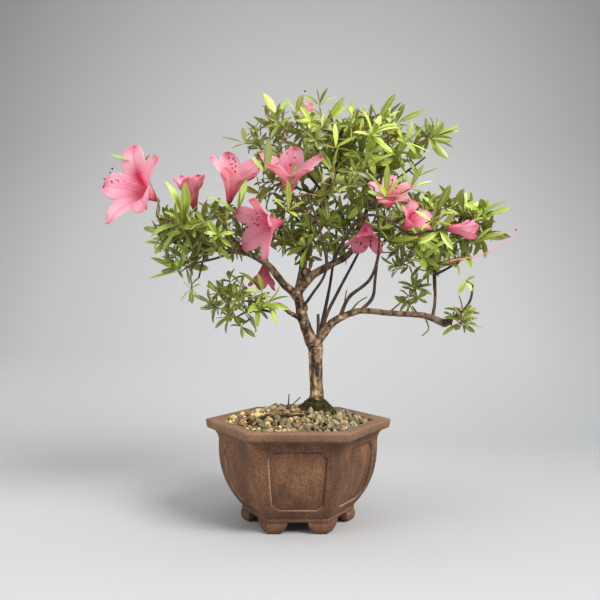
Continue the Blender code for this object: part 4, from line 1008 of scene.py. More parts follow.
# Leaves drawn one by one, in mm: whorl centre, then each leaf's tip seen from there and its width.
DRAWN = [
    ((57, -34, 310), [(11, -4, 38, 11), (22, -8, 12, 8), (-12, -8, 14, 8), (18, -12, 3, 7),
                      (-16, -10, -2, 7)]),
    ((70, -20, 352), [(14, -3, 26, 8), (-6, -4, 16, 6), (4, -8, 12, 6)]),
    ((86, -16, 352), [(6, -2, 18, 8), (25, -2, 12, 7), (12, -8, -4, 5), (-8, -6, 8, 6)]),
    ((116, -14, 340), [(26, -2, 11, 8), (4, -4, -9, 8), (2, -2, 12, 6), (10, -3, 13, 5)]),
    ((104, -16, 305), [(-6, -3, 15, 6), (18, -4, 8, 5)]),
    ((120, -26, 273), [(11, -4, 23, 9), (-10, -4, 14, 6), (18, -6, 0, 6), (-8, -8, 4, 5)]),
    ((142, -24, 270), [(-1, -3, 20, 8), (5, -2, 21, 6), (-14, -4, 6, 6), (10, -8, 2, 5)]),
    ((155, -20, 270), [(26, -3, 16, 7), (9, -8, 4, 6)]),
    ((154, -22, 247), [(25, -4, 11, 8), (12, -6, 14, 6)]),
    ((-140, -4, 318), [(-28, -2, 10, 7), (8, -2, 9, 5)]),
    ((-97, -34, 262), [(-11, -4, 38, 15), (3, -8, 34, 11), (12, -8, 16, 5), (-14, -8, 12, 8),
                       (9, -10, 24, 6)]),
    ((-118, -20, 246), [(-9, -3, 21, 8), (-15, -2, 2, 6), (-6, -4, -9, 7), (-4, -8, 10, 6)]),
    ((-104, -22, 222), [(-23, -3, 13, 8), (-25, -4, -6, 6), (10, -4, 26, 8), (-2, -6, 9, 5)]),
    ((-93, -22, 207), [(1, -2, -13, 6), (9, -2, -9, 3), (-10, -3, -10, 3), (8, -4, 5, 5),
                       (-6, -4, 6, 5)]),
    ((-31, -22, 204), [(-17, -4, 20, 11), (-2, -6, 16, 7), (-14, -8, 2, 6)]),
    ((-60, -20, 198), [(-13, -2, -3, 5), (-8, -2, 9, 5), (6, -4, 8, 5), (5, -4, -7, 4)]),
    ((-50, -18, 174), [(11, -2, 9, 5), (13, -2, -9, 7), (-9, -2, 2, 5), (-4, -3, 9, 5),
                       (2, -4, -10, 4)]),
    ((-46, -18, 334), [(-20, -2, 7, 8), (-12, -4, -4, 5), (-2, -2, 14, 6), (8, -4, 10, 5)]),
    ((-18, -20, 355), [(-11, -2, 23, 11), (10, -4, 17, 8), (2, -8, 12, 6)]),
    ((-2, -18, 361), [(6, -2, 16, 7), (-8, -4, 12, 5), (10, -6, 6, 5)]),
    ((19, -12, 369), [(-14, -2, 9, 6), (6, -2, 16, 5), (-2, -4, 14, 5), (14, -4, 8, 6)]),
    ((24, -24, 352), [(16, -3, 13, 8), (16, -4, 20, 7), (-10, -4, 10, 6)]),
    ((32, -38, 326), [(0, -4, 21, 7), (-23, -6, 4, 10), (16, -6, 10, 7), (12, -8, -4, 7)]),
    ((-28, -40, 305), [(5, -4, 27, 12), (-10, -6, 12, 6), (12, -8, 8, 6)]),
    ((-8, -44, 292), [(7, -4, 18, 8), (-9, -6, 8, 5), (9, -6, 3, 5)]),
    ((-52, -30, 272), [(8, -4, 28, 9), (-24, -5, 16, 8), (5, -8, 18, 6), (-9, -8, 4, 6)]),
    ((142, -16, 177), [(20, -2, -3, 5), (-16, -2, -10, 6), (13, -3, 14, 8), (-10, -3, 9, 7),
                       (8, -6, 4, 5)]),
    ((72, -60, 281), [(-14, -4, 22, 7), (1, -4, 27, 7), (13, -5, 17, 6), (17, -6, 2, 5),
                      (-15, -4, 5, 6), (-4, -8, 8, 5)]),
    ((92, -60, 288), [(9, -2, 21, 7), (-7, -4, 16, 6), (17, -4, 8, 5), (14, -6, -6, 5),
                      (-12, -6, -2, 5), (2, -8, 6, 4)]),
    ((68, -52, 256), [(1, -3, 15, 7), (-13, -5, 6, 5), (13, -4, 4, 5), (6, -4, -9, 5)]),
    ((109, -62, 261), [(-13, -4, 9, 5), (4, -3, 18, 6), (14, -4, 10, 5), (15, -5, -3, 5),
                       (-10, -6, -6, 5)]),
    ((-8, -56, 270), [(0, -5, 25, 8), (-14, -4, 12, 6), (12, -5, 9, 5), (8, -6, -4, 5)]),
    ((147, -18, 214), [(-7, -2, -11, 6), (5, -3, -9, 5), (7, -4, 4, 5)]),
]

# %% Fine twigs to every whorl
network = limb_points
twigs = Bundle("age")
drawn_spot = np.array([spot for spot, tips_from in DRAWN]) * MM
drawn_way = unit([np.mean(tips_from, 0)[:3] for spot, tips_from in DRAWN])
twig_ends, twig_ways = np.concatenate([whorl, drawn_spot]), np.concatenate([facing, drawn_way])
gap = np.linalg.norm(twig_ends[:, None] - limb_points[None], axis=-1).min(1)
for index in np.argsort(gap):
    end, way = twig_ends[index], twig_ways[index]
    offset = end - network
    cost = np.linalg.norm(offset, axis=1) + 0.35 * np.maximum(0, -offset @ way)
    start = network[np.argmin(cost)]
    reach = np.linalg.norm(end - start)
    bend = (start + end) / 2 - way * reach * 0.18 + 0.06 * reach * chance.normal(size=3)
    path = smooth_path(np.array([start, bend, end]), 3 * MM)
    thickness = np.linspace(0.75, 0.5, len(path)) * MM
    twigs.put_tube(path, thickness, sides=5, age=0.15)
    network = np.concatenate([network, path[2:]])
for name in LIMBS:
    if name not in THICK:
        path, radii = limb(name, 2.5)
        twigs.put_tube(path, radii * (1 + 0.08 * noise(path, 4 * MM, 31)), sides=8, age=0.45)
STRAY_TWIGS = [[(37, -10, 181), (40, -12, 190), (43, -12, 206)],
               [(47, -12, 188), (53, -14, 195), (61, -14, 200)],
               [(109, -30, 224), (124, -28, 230), (144, -24, 235)],
               [(137, -20, 226), (146, -20, 238), (152, -18, 256)],
               [(-85, -16, 241), (-93, -20, 222), (-92, -22, 205), (-95, -22, 196)],
               [(80, -14, 186), (92, -12, 196), (101, -9, 204)],
               [(112, -14, 182), (114, -20, 172), (108, -22, 166)]]
for route in STRAY_TWIGS:
    path = smooth_path(np.array(route) * MM, 2 * MM)
    twigs.put_tube(path, np.linspace(0.9, 0.5, len(path)) * MM, sides=5, age=0.3)
twig_bark, tree, shader = new_finish("twig_bark", 0.7, Specular_IOR_Level=0.35)
place = object_place(tree)
streak = mottle(tree, place, 0.003)
age_value = point_value(tree, "age")
fresh = ramp(tree, streak, [(0.35, "#6A5430"), (0.55, "#8C7440"), (0.72, "#B09C58")])
aged = ramp(tree, streak, [(0.35, "#32261D"), (0.55, "#4C3A2C"), (0.72, "#6E5640")])
share = share_of(tree, age_value, (0.12, 0.42))
tree.links.new(blend(tree, share, fresh, aged), shader.inputs["Base Color"])
rough_skin(tree, shader, streak, 0.0003)
piece("fine_twigs", twigs.mesh("fine_twigs"), twig_bark, "azalea_bark", "trunk_and_branches")

# %% [markdown]
# ## Leaves
#
# A satsuki leaf is lance-shaped, widest past its middle, folded a little along the midrib and
# arched along its length. One function makes any number at once: a station s along the leaf
# has half-width w(s) ~ s^1.1 (1 - s)^0.8, the midrib bends by a droop angle spread evenly, and
# six points round each station give a top with a valley and a flat underside. Whorls set out
# their leaves by the golden angle, the youngest upright and pale in the middle.

# %% Leaf surfaces
STATIONS = np.array([0.05, 0.17, 0.32, 0.47, 0.62, 0.77, 0.90, 0.965])
OUTLINE = STATIONS ** 1.1 * (1 - STATIONS) ** 0.8
OUTLINE = np.maximum(OUTLINE / OUTLINE.max(), 0.10)
WIDEST = 0.25                              # width over length of an ordinary leaf
ACROSS = np.array([-1.0, -0.5, 0.0, 0.5, 1.0, 0.0])
RAISED = np.array([0.0, 0.10, -0.02, 0.10, 0.0, -0.10])


def leaves(base, way, up, length, width, droop, fold):
    """Closed leaves: centre(s) = base + L/k (sin ks way - (1 - cos ks) up), plus the section across it.

    A point of the section at t lies w t across and w (fold |t| + raised) above the centre.
    """
    side = unit(np.cross(way, up))
    up = np.cross(side, way)
    angle = droop[:, None] * STATIONS
    bow = np.where(np.abs(droop) < 0.02, 0.02, droop)[:, None]
    centre = base[:, None] + length[:, None, None] * (
        (np.sin(bow * STATIONS) / bow)[..., None] * way[:, None]
        - ((1 - np.cos(bow * STATIONS)) / bow)[..., None] * up[:, None])
    normal = np.cos(angle)[..., None] * up[:, None] + np.sin(angle)[..., None] * way[:, None]
    half = width[:, None] / 2 * OUTLINE
    wave = 1 + 0.05 * np.sin(9 * STATIONS[None] + base[:, :1] * 900)
    over = half[..., None] * ACROSS
    raised = half[..., None] * (fold[:, None, None] * np.abs(ACROSS) * wave[..., None] + RAISED)
    raised[..., -1] = np.minimum(raised[..., -1], -0.25 * MM)
    grid = (centre[:, :, None] + over[..., None] * side[:, None, None]
            + raised[..., None] * normal[:, :, None])
    tip = base + length[:, None] * ((np.sin(bow) / bow) * way - ((1 - np.cos(bow)) / bow) * up)
    points = closed(grid)
    points[:, -1], points[:, -2] = tip, base
    return points


def leaf_batch(name, base, way, up, length, width, droop, fold, tint):
    """A mesh of many leaves, with attributes for the midrib, the length, the underside and the tint."""
    points = leaves(base, way, up, length, width, droop, fold)
    count, size = points.shape[:2]
    quads, caps = shell(len(STATIONS), len(ACROSS))
    across = np.append(np.tile(np.abs(ACROSS), len(STATIONS)), [0, 0])
    along_leaf = np.append(np.repeat(STATIONS, len(ACROSS)), [0, 1])
    under = np.append(np.tile([0, 0, 0, 0, 0, 1.0], len(STATIONS)), [0, 0])
    mesh = mesh_from(name, points, copies(size, quads, count), copies(size, caps, count),
                     {"across": np.tile(across, count), "along": np.tile(along_leaf, count),
                      "under": np.tile(under, count), "tint": np.repeat(tint, size)})
    mesh.set_sharp_from_angle(angle=math.radians(62))
    return mesh


leaf_finish, tree, shader = new_finish("azalea_leaf", 0.42, Specular_IOR_Level=0.5,
                                       Subsurface_Weight=0.12, Subsurface_Scale=0.002)
place = object_place(tree)
read = {key: point_value(tree, key) for key in ("across", "along", "under", "tint")}
green = ramp(tree, read["tint"], [(0.0, "#444412"), (0.25, "#5E641A"), (0.48, "#758628"),
                                  (0.72, "#92A838"), (1.0, "#B8CC5E")])
patchy = ramp(tree, mottle(tree, place, 0.006), [(0.3, "#A6A6A6"), (0.7, "#CACACA")])
leaf_colour = blend(tree, 0.6, green, patchy, "OVERLAY")
rib = share_of(tree, read["across"], (0.05, 0.16), (0.55, 0.0))
leaf_colour = blend(tree, rib, leaf_colour, "#B4C468")
stem = share_of(tree, read["along"], (0.0, 0.22), (0.8, 0.0))
leaf_colour = blend(tree, stem, leaf_colour, "#B8A84C")
pale = share_of(tree, read["under"], (0.05, 0.4), (0.0, 0.6))
leaf_colour = blend(tree, pale, leaf_colour, "#94A45C")
tree.links.new(leaf_colour, shader.inputs["Base Color"])
rough_skin(tree, shader, mottle(tree, place, 0.0018), 0.00015)

# %% Whorls of leaves, one piece for each leafy shoot
GOLDEN = math.pi * (3 - math.sqrt(5))
per_whorl = chance.integers(5, 10, len(whorl))
SMALL_LEAF, LARGE_LEAF = (9, 17), (17, 27)  # shortest and longest, in mm
owner = np.repeat(np.arange(len(whorl)), per_whorl)
place_in_whorl = np.arange(len(owner)) - np.repeat(np.cumsum(per_whorl) - per_whorl, per_whorl)
share = (place_in_whorl + 0.5) / per_whorl[owner]
axis = facing[owner]
a = unit(np.cross(axis, [0.31, 0.77, 0.55]))
b = np.cross(axis, a)
spin = (GOLDEN * place_in_whorl + chance.uniform(0, 2 * math.pi, len(whorl))[owner]
        + 0.2 * chance.normal(size=len(owner)))
lean = np.radians(28 + 62 * share + 10 * chance.normal(size=len(owner)))
spread = np.cos(spin)[:, None] * a + np.sin(spin)[:, None] * b
way = unit(np.cos(lean)[:, None] * axis + np.sin(lean)[:, None] * spread)
up = unit(axis - 0.3 * spread + 0.15 * chance.normal(size=way.shape))
large = np.array(large, float)[owner]
lit = np.clip((whorl[:, 2] - 0.20) / 0.16, 0, 1)[owner]
small, big = (chance.uniform(*limits, len(owner)) for limits in (SMALL_LEAF, LARGE_LEAF))
length = (small * (1 - large) + big * large) * MM
width = length * WIDEST * chance.uniform(0.85, 1.25, len(owner))
droop = chance.uniform(-0.1, 0.7, len(owner))
fold = chance.uniform(0.15, 0.6, len(owner))
age_shift = (0.16 * chance.normal(size=len(whorl)))[owner]
tint = np.clip(0.24 + 0.26 * large + 0.20 * lit * depth_inside[owner] + 0.16 * (1 - share) + age_shift
               + 0.10 * chance.normal(size=len(owner)), 0, 1)
base = whorl[owner] - axis * (3.5 * MM * share[:, None])
tips, waist = base + way * length[:, None], base + way * length[:, None] * 0.6
keep = keeps_clear(tips) & keeps_clear(waist) & (np.abs(tips[:, 1]) < 0.104)

drawn_base = np.concatenate([np.repeat([spot], len(tips_from), 0) for spot, tips_from in DRAWN]) * MM
drawn_tip = np.concatenate([tips_from for spot, tips_from in DRAWN]) * MM
drawn_length = np.linalg.norm(drawn_tip[:, :3], axis=1)
count = len(drawn_base)
toward_light = [0.15, -0.55, 0.82]
base = np.concatenate([base, drawn_base])
way = np.concatenate([way, drawn_tip[:, :3] / drawn_length[:, None]])
up = np.concatenate([up, unit(toward_light + 0.25 * chance.normal(size=(count, 3)))])
length, width = np.concatenate([length, drawn_length]), np.concatenate([width, 0.78 * drawn_tip[:, 3]])
droop = np.append(droop, chance.uniform(0.0, 0.35, count))
fold = np.append(fold, chance.uniform(0.15, 0.4, count))
tint = np.append(tint, np.clip(0.62 + 0.18 * chance.normal(size=count), 0.3, 1))
keep = np.append(keep, np.ones(count, bool))
whorl_of = np.concatenate([whorl[owner], drawn_base])
home = np.argmin(np.linalg.norm(whorl_of[:, None] - shoot_middle[None], axis=-1), axis=1)
for index, node in enumerate(shoot_nodes):
    mine = keep & (home == index)
    name = node.replace("shoot", "leaves")
    mesh = leaf_batch(name, *(v[mine] for v in (base, way, up, length, width, droop, fold, tint)))
    piece(name, mesh, leaf_finish, "azalea_leaf", node)
print("leaves:", keep.sum())

# %% [markdown]
# ## Flowers
#
# A corolla is five petals fused below into a tube. In polar terms a petal's midline leaves the
# throat at 9 degrees to the axis and curls out to its opening angle a(s), so its radius and
# height are the sums of sin a and cos a along it. Sideways, a petal fills a fifth of the circle
# up to the notch; beyond that its half-width swells and then closes in a blunt tip. The upper
# petal carries a deep pink blotch with darker dots, which guides insects to the throat.

# %% Petals
PETAL_ROWS, PETAL_COLUMNS, NOTCH = 30, 15, 0.40
flower_finish, tree, shader = new_finish("azalea_petal", 0.5, Specular_IOR_Level=0.3,
                                         Subsurface_Weight=0.12, Subsurface_Scale=0.003)
place = object_place(tree)
read = {key: point_value(tree, key) for key in ("across", "along", "blotch", "depth")}
base_pink = ramp(tree, read["along"], [(0.0, "#E25676"), (0.20, "#F0849E"), (0.42, "#F8ACC0"),
                                       (0.82, "#FBC2D0"), (1.0, "#F08CA6")])
# Painted shade: a flower that sits in shadow is given a deeper, darker pink by its depth number.
shaded_pink = ramp(tree, read["along"], [(0.0, "#CC4864"), (0.35, "#E26A86"), (0.75, "#F08AA2"),
                                       (1.0, "#E87490")])
petal_colour = blend(tree, read["depth"], base_pink, shaded_pink)
vein = share_of(tree, read["across"], (0.02, 0.14), (0.4, 0.0))
petal_colour = blend(tree, vein, petal_colour, "#EC6F92")
streaks = ramp(tree, mottle(tree, place, 0.005), [(0.3, "#B2B2B2"), (0.7, "#C6C6C6")])
petal_colour = blend(tree, 0.5, petal_colour, streaks, "OVERLAY")
dots = add(tree, "TexVoronoi", {"Vector": place, "Scale": 1 / 0.0026}, feature="F1").outputs["Distance"]
dot_share = share_of(tree, dots, (0.22, 0.36), (0.9, 0.0))
blotch_share = share_of(tree, read["blotch"], (0.15, 0.85))
petal_colour = blend(tree, blotch_share, petal_colour, "#EA4476")
speckle = add(tree, "Math", {0: dot_share, 1: read["blotch"]}, operation="MULTIPLY")
petal_colour = blend(tree, speckle.outputs["Value"], petal_colour, "#B8124A")
tree.links.new(petal_colour, shader.inputs["Base Color"])
rough_skin(tree, shader, mottle(tree, place, 0.0014), 0.00012)
glow = add(tree, "BsdfTranslucent", {"Color": petal_colour})
through = add(tree, "MixShader", {0: 0.4, 1: shader.outputs["BSDF"], 2: glow.outputs["BSDF"]})
output = next(node for node in tree.nodes if node.type == "OUTPUT_MATERIAL")
tree.links.new(through.outputs["Shader"], output.inputs["Surface"])


def corolla(base, axis, size, opening, roll, shape):
    """Points and face attributes of five petals, welded later where they meet below the notch.

    a(s) = 9 deg + (opening - 9 deg) s^1.15; r = r0 + L sum(sin a); h = L sum(cos a).
    Half-width: r pi/5 up to the notch, then a swell to the petal's own width and a blunt close.
    """
    s = np.linspace(0, 1, PETAL_ROWS) ** 0.9
    t = np.linspace(-1, 1, PETAL_COLUMNS)
    free = np.clip((s - NOTCH) / (1 - NOTCH), 0, 1)
    petal = np.arange(5)
    bend = opening + shape.uniform(-9, 12, 5)[:, None] * free
    angle = np.radians(9 + (bend - 9) * s ** 1.15)
    step = np.diff(s, prepend=0) * size * (1 + shape.uniform(-0.07, 0.07, 5)[:, None] * free)
    r = 2.4 * MM + np.cumsum(np.sin(angle) * step, 1)
    h = np.cumsum(np.cos(angle) * step, 1)
    fused = r * math.pi / 5
    own = size * shape.uniform(0.235, 0.275, 5)[:, None]
    swell = smooth_step(free, 0, 0.42)
    half = (fused * (1 - swell) + own * swell) * np.clip(1 - free ** 3.4, 0, 1) ** 0.52
    half = np.where(free > 0, half, fused)
    half[:, -1] = 0.25 * MM
    x = half[..., None] * t
    turn = x / r[..., None]
    flat = (smooth_step(free, 0, 0.5) * 0.85)[None, :, None]
    radial = r[..., None] * (np.cos(turn) * (1 - flat) + flat)
    sideways = r[..., None] * np.sin(turn) * (1 - flat) + x * flat
    ripple = shape.uniform(0, 6.3, 5)[:, None, None]
    edge = np.abs(t) ** 1.6 * free[None, :, None]
    lift = edge * size * (0.035 + 0.034 * np.sin(7.5 * s[None, :, None] + ripple + 1.5 * t))
    crease = -0.02 * size * np.exp(-(t / 0.22) ** 2) * np.sin(np.pi * np.clip(s, 0, 1))[None, :, None]
    rise = lift + crease
    radial, height = radial - rise * np.cos(angle)[..., None], (
        h[..., None] + rise * np.sin(angle)[..., None])
    centre = petal * 2 * math.pi / 5
    cos, sin = np.cos(centre)[:, None, None], np.sin(centre)[:, None, None]
    points = np.stack([radial * cos - sideways * sin, radial * sin + sideways * cos, height], -1)
    third = unit(axis)
    first = unit(np.cross([0.0, 0.0, 1.0], third)) if abs(third[2]) < 0.99 else np.array([1.0, 0, 0])
    second = np.cross(third, first)
    c, n = math.cos(roll), math.sin(roll)
    frame_axes = np.stack([second * c + first * n, first * c - second * n, third])
    frame_axes[1] = np.cross(third, frame_axes[0])
    return base + points @ frame_axes, s, t


def weld(mesh, distance):
    """Join points that lie together."""
    form = bmesh.new()
    form.from_mesh(mesh)
    bmesh.ops.remove_doubles(form, verts=form.verts, dist=distance)
    form.to_mesh(mesh)
    form.free()


quads = grid_faces(PETAL_ROWS, PETAL_COLUMNS)
for index, (*_, opening, roll, shade_depth) in enumerate(FLOWERS):
    shape = np.random.default_rng(50 + index)
    points, s, t = corolla(flower_base[index], flower_axis[index], flower_size[index], opening,
                           math.radians(roll), shape)
    across = np.broadcast_to(np.abs(t), (5, PETAL_ROWS, PETAL_COLUMNS))
    along_petal = np.broadcast_to(s[:, None], (5, PETAL_ROWS, PETAL_COLUMNS))
    mark = np.exp(-((s[:, None] - 0.42) / 0.20) ** 2) * np.clip(1.15 - np.abs(t) * 1.2, 0, 1)
    blotch = np.zeros((5, PETAL_ROWS, PETAL_COLUMNS))
    blotch[0] = mark
    number = f"{index + 1:02d}"
    mesh = mesh_from("petals_" + number, points, copies(PETAL_ROWS * PETAL_COLUMNS, quads, 5), (),
                     {"across": across, "along": along_petal, "blotch": blotch,
                      "depth": np.full(points.shape[:3], shade_depth)})
    weld(mesh, 0.02 * MM)
    made = piece("petals_" + number, mesh, flower_finish, "petal", f"flower_{number}_corolla")
    thick = made.modifiers.new("petal_thickness", "SOLIDIFY")
    thick.thickness, thick.offset = 0.35 * MM, 0.0

# %% [markdown]
# ## Stalks, stamens and styles
#
# A short hairy stalk holds the flower, with a small green calyx. Six to eight thin pink
# filaments leave the throat and sweep up towards the blotched petal, each with a dark purple
# anther; the style is longer and ends in a dark round stigma. One bundle holds them all, with
# a number that says which part a point belongs to.

# %% Stalks and stamens
organ, tree, shader = new_finish("stalk_filament_anther", 0.55, Specular_IOR_Level=0.35)
part_value = point_value(tree, "organ")
organ_colour = ramp(tree, part_value, [(0.0, "#6E7A34"), (0.24, "#8E7A40"), (0.26, "#F08AA8"),
                                       (0.74, "#EE6E90"), (0.76, "#4A1838"),
                                       (1.0, "#2E1028")], "CONSTANT")
tree.links.new(organ_colour, shader.inputs["Base Color"])
# A style's bends: mm along the flower's axis, and mm above it.
SHORT_STYLE, LONG_STYLE = [(14, 0), (26, 2)], [(20, -1), (38, 1), (50, 5)]
OPEN_LEAN = np.array([-0.40, 0.0, -0.20])  # stamens mostly rise; the open flower's lean aside
# The style of a faded flower whose petals have dropped, still on its twig at the right.
SPENT_STYLE = np.array([(126, -25, 228), (133, -27, 231), (147, -29, 233.5), (162, -31, 237.5),
                        (177, -33, 245.5), (186, -34, 257)]) * MM
anther_ball = ball[::2]
anther_faces = shell(*anther_ball.shape[:2])
for index in range(len(FLOWERS)):
    shape = np.random.default_rng(80 + index)
    base, axis, size = flower_base[index], flower_axis[index], flower_size[index]
    bundle = Bundle("organ")
    path, radii = limb(f"bloom_{index + 1}")
    tip, way = path[-1], unit(path[-1] - path[-3])
    behind = base - axis * 4.5 * MM
    stalk = smooth_path(np.array([tip - way * 1 * MM, tip + way * 2 * MM,
                                  (tip + behind) / 2 + way * 1.5 * MM, behind,
                                  base - axis * 1.2 * MM, base + axis * 0.8 * MM]), 1 * MM)
    run = np.linspace(0, 1, len(stalk))
    bundle.put_tube(stalk, (0.75 + 1.5 * smooth_step(run, 0.72, 0.92)) * MM, sides=8, organ=0.0)
    upward = unit(np.array([0, 0, 1.0]) - axis * axis[2] + 1e-6)
    side = np.cross(axis, upward)
    for number in range(shape.integers(6, 9)):
        swing, reach = shape.uniform(-0.5, 0.5), size * shape.uniform(0.62, 0.92)
        way = unit(axis + 0.10 * upward + swing * 0.55 * side + 0.06 * shape.normal(size=3))
        lean = OPEN_LEAN if index == OPEN_FLOWER else upward * 0.22
        end = base + way * reach + lean * reach * shape.uniform(0.1, 1.0)
        waist = base + way * reach * 0.5 - upward * 0.03 * reach
        filament = smooth_path(np.array([base + axis * 1 * MM, waist, end]), 3 * MM)
        bundle.put_tube(filament, np.full(len(filament), 0.26 * MM), sides=5, organ=0.5)
        long_way = unit(end - base + 0.6 * shape.normal(size=3) * reach)
        grid = end + (anther_ball * 0.55 + (anther_ball @ long_way)[..., None] * long_way * 0.75) * MM
        bundle.put(closed(grid), *anther_faces, organ=0.9)
    bends = LONG_STYLE if index == OPEN_FLOWER else SHORT_STYLE
    style = [base + axis * a * MM + np.array([0, 0, u]) * MM for a, u in bends]
    style = smooth_path(np.array([base + axis * 1.5 * MM, *style]), 2 * MM)
    bundle.put_tube(style, np.full(len(style), 0.36 * MM), sides=6, organ=0.5)
    bundle.put(closed(style[-1] + anther_ball * 0.95 * MM), *anther_faces, organ=0.9)
    if index == SPENT_TWIG:
        spent = smooth_path(SPENT_STYLE, 2 * MM)
        thin = np.clip(np.linspace(1.6, -3.0, len(spent)), 0.34, 1.2) * MM
        bundle.put_tube(spent, thin, sides=6, organ=0.5)
        bundle.put(closed(spent[-1] + anther_ball * 0.85 * MM), *anther_faces, organ=0.9)
    piece(f"stamens_{index + 1:02d}", bundle.mesh(f"stamens_{index + 1:02d}"), organ, "flower_stalk",
          f"flower_{index + 1:02d}_stalk")

# %% [markdown]
# ## Litter on the gravel
#
# Dry brown needles lie on the bare patch in front of the trunk, and two dead twigs stand there.

# %% Needles and dead twigs
litter = Bundle("pale")
count = 30
x = chance.normal(-14, 15, count) * MM
y = chance.normal(-23, 6, count) * MM
heading, reach = chance.normal(0.3, 0.8, count), chance.uniform(4, 9, count) * MM
for px, py, turn, half in zip(x, y, heading, reach):
    step = np.linspace(-1, 1, 5) * half
    nx, ny = px + step * math.cos(turn), py + step * math.sin(turn) * 0.8
    uneven = 1.2 * MM * noise(np.stack([nx, ny, 0 * nx], -1), 9 * MM, 41)
    nz = ground(nx, ny) + GRAVEL_DEPTH + 0.3 * MM + uneven
    litter.put_tube(np.stack([nx, ny, nz], -1), np.array([0.12, 0.22, 0.25, 0.22, 0.1]) * MM, sides=4,
                    pale=chance.uniform(0.45, 0.9))
straw, tree, shader = new_finish("dry_needles_and_sticks", 0.85, Specular_IOR_Level=0.3)
litter_colour = ramp(tree, point_value(tree, "pale"),
                     [(0.2, "#3C2E20"), (0.7, "#8E744A"), (1.0, "#C0A878")])
tree.links.new(litter_colour, shader.inputs["Base Color"])
piece("straw_needles", litter.mesh("straw_needles"), straw, "dead_wood")
for node in ("dead_twig_upright", "dead_twig_leaning"):
    low, high = (np.array(corner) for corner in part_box(node))
    middle = (low + high) / 2 + np.array([0.8, 0.4, 0.2]) * MM
    stick = smooth_path(np.array([low, middle, high]), 1.2 * MM)
    twig = Bundle("pale")
    thickness = 0.75 - 0.3 * np.linspace(0, 1, len(stick)) + 0.08 * noise(stick, 2 * MM, 43)
    twig.put_tube(stick, thickness * MM, sides=7, pale=0.2)
    piece(node + "_wood", twig.mesh(node + "_wood"), straw, "dead_wood", node)

# %% [markdown]
# ## Drain screen
#
# The plastic screen and its wire keep their construction shape; only their finish is made here.

# %% Screen and wire finishes
mesh_plastic, tree, shader = new_finish("screen_plastic", 0.5)
place = object_place(tree)
shadow = ramp(tree, mottle(tree, place, 0.004), [(0.3, "#26282A"), (0.7, "#3A3C3E")])
tree.links.new(shadow, shader.inputs["Base Color"])
wire_metal, tree, shader = new_finish("annealed_wire", 0.45, Metallic=1.0)
place = object_place(tree)
dull = ramp(tree, mottle(tree, place, 0.002), [(0.3, "#7A6A5C"), (0.7, "#A08C7A")])
tree.links.new(dull, shader.inputs["Base Color"])
for node, kept in (("drain_screen", mesh_plastic), ("screen_wire", wire_metal)):
    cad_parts[node].data.materials.clear()
    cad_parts[node].data.materials.append(kept)

# %% [markdown]
# ## Studio
#
# A seamless pale sweep, a large soft light from the upper right front, a weaker one from the
# left, a wide one overhead, and an even grey sky that fills the shadows.

# %% Sweep, lights and camera
turn = np.linspace(0, math.pi / 2, 24)
sweep_profile = np.concatenate([[(-3.0, 0.0), (-1.0, 0.0), (0.1, 0.0)],
                                np.stack([0.35 + 0.55 * np.sin(turn), 0.55 - 0.55 * np.cos(turn)], -1),
                                [(0.90, 1.2), (0.90, 2.6)]])
width = np.linspace(-2.4, 2.4, 9)
back, rise = (np.repeat(sweep_profile[:, i:i + 1], 9, 1) for i in (0, 1))
sweep_grid = np.stack([np.broadcast_to(width, back.shape), back, rise], -1)
sweep_mesh = mesh_from("paper_sweep", sweep_grid, grid_faces(len(sweep_profile), 9)[:, ::-1])
sweep = bpy.data.objects.new("paper_sweep", sweep_mesh)
paper, tree, shader = new_finish("paper_sweep", 0.9, Specular_IOR_Level=0.1)
place = object_place(tree)
place = add(tree, "SeparateXYZ", {"Vector": place})
away = add(tree, "CombineXYZ", {"X": place.outputs["X"], "Z": place.outputs["Z"]}).outputs["Vector"]
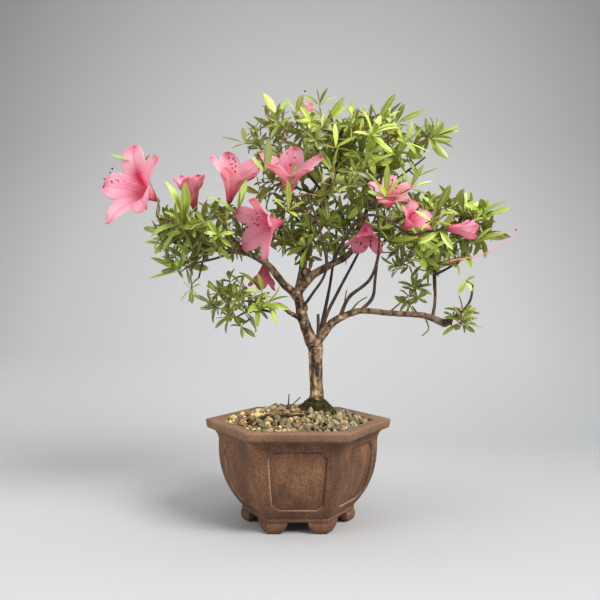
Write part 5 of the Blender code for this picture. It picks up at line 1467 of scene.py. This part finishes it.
# Painted light on the sweep: the wall darkens with distance from a spot just behind the tree, a painted
# vignette, and the floor darkens towards the right, painted shade.
away = add(tree, "VectorMath", {0: away, 1: (-0.04, 0.0, 0.15)}, operation="DISTANCE").outputs["Value"]
height = share_of(tree, place.outputs["Z"], (0.0, 0.10))
wall = ramp(tree, away, [(0.1, "#ABACAE"), (0.45, "#A3A3A4"), (0.68, "#919191"), (0.95, "#787878")])
floor = share_of(tree, place.outputs["X"], (-0.5, 0.5))
floor = ramp(tree, floor, [(0.0, "#B2B2B2"), (0.5, "#AEAEAF"), (1.0, "#979A9D")])
sheet = blend(tree, height, floor, wall)
tree.links.new(sheet, shader.inputs["Base Color"])
sweep.data.materials.append(paper)
bpy.context.scene.collection.objects.link(sweep)
sweep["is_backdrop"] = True


def area_light(name, place, width, power, colour):
    """A square soft light aimed at the middle of the tree; its power is in watts."""
    lamp = bpy.data.lights.new(name, "AREA")
    lamp.shape, lamp.size, lamp.energy, lamp.color = "SQUARE", width, power, colour
    made = bpy.data.objects.new(name, lamp)
    made.location = place
    aim = np.array([0, 0, 0.2]) - np.array(place)
    made.rotation_euler = (math.atan2(math.hypot(aim[0], aim[1]), -aim[2]), 0,
                           math.atan2(aim[1], aim[0]) - math.pi / 2)
    bpy.context.scene.collection.objects.link(made)


area_light("key", (0.86, -0.78, 1.12), 0.7, 34.0, (1.0, 0.98, 0.95))
area_light("fill", (-1.1, -0.7, 0.6), 0.9, 9.5, (0.97, 0.99, 1.0))
area_light("top", (0.0, 0.1, 1.6), 1.2, 12.0, (1.0, 1.0, 1.0))
world = bpy.data.worlds.new("grey_room")
world.use_nodes = True
world.node_tree.nodes["Background"].inputs["Color"].default_value = linear("#C8C8C8")
world.node_tree.nodes["Background"].inputs["Strength"].default_value = 0.75
bpy.context.scene.world = world
bpy.context.scene.view_settings.view_transform = "Standard"

EYE = (1.8 * MM, -648 * MM, 197.1 * MM)   # level with the middle of the tree, 0.65 m in front
lens = bpy.data.cameras.new("camera")
lens.lens, lens.sensor_width, lens.clip_start = 43.2, 36.0, 0.02
camera = bpy.data.objects.new("camera", lens)
camera.location = EYE
camera.rotation_euler = (math.pi / 2, 0, 0)
bpy.context.scene.collection.objects.link(camera)
bpy.context.scene.camera = camera

# %% Sizes
low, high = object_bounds()
print("finished box in mm:", [round(v / MM) for v in (*low, *high)])
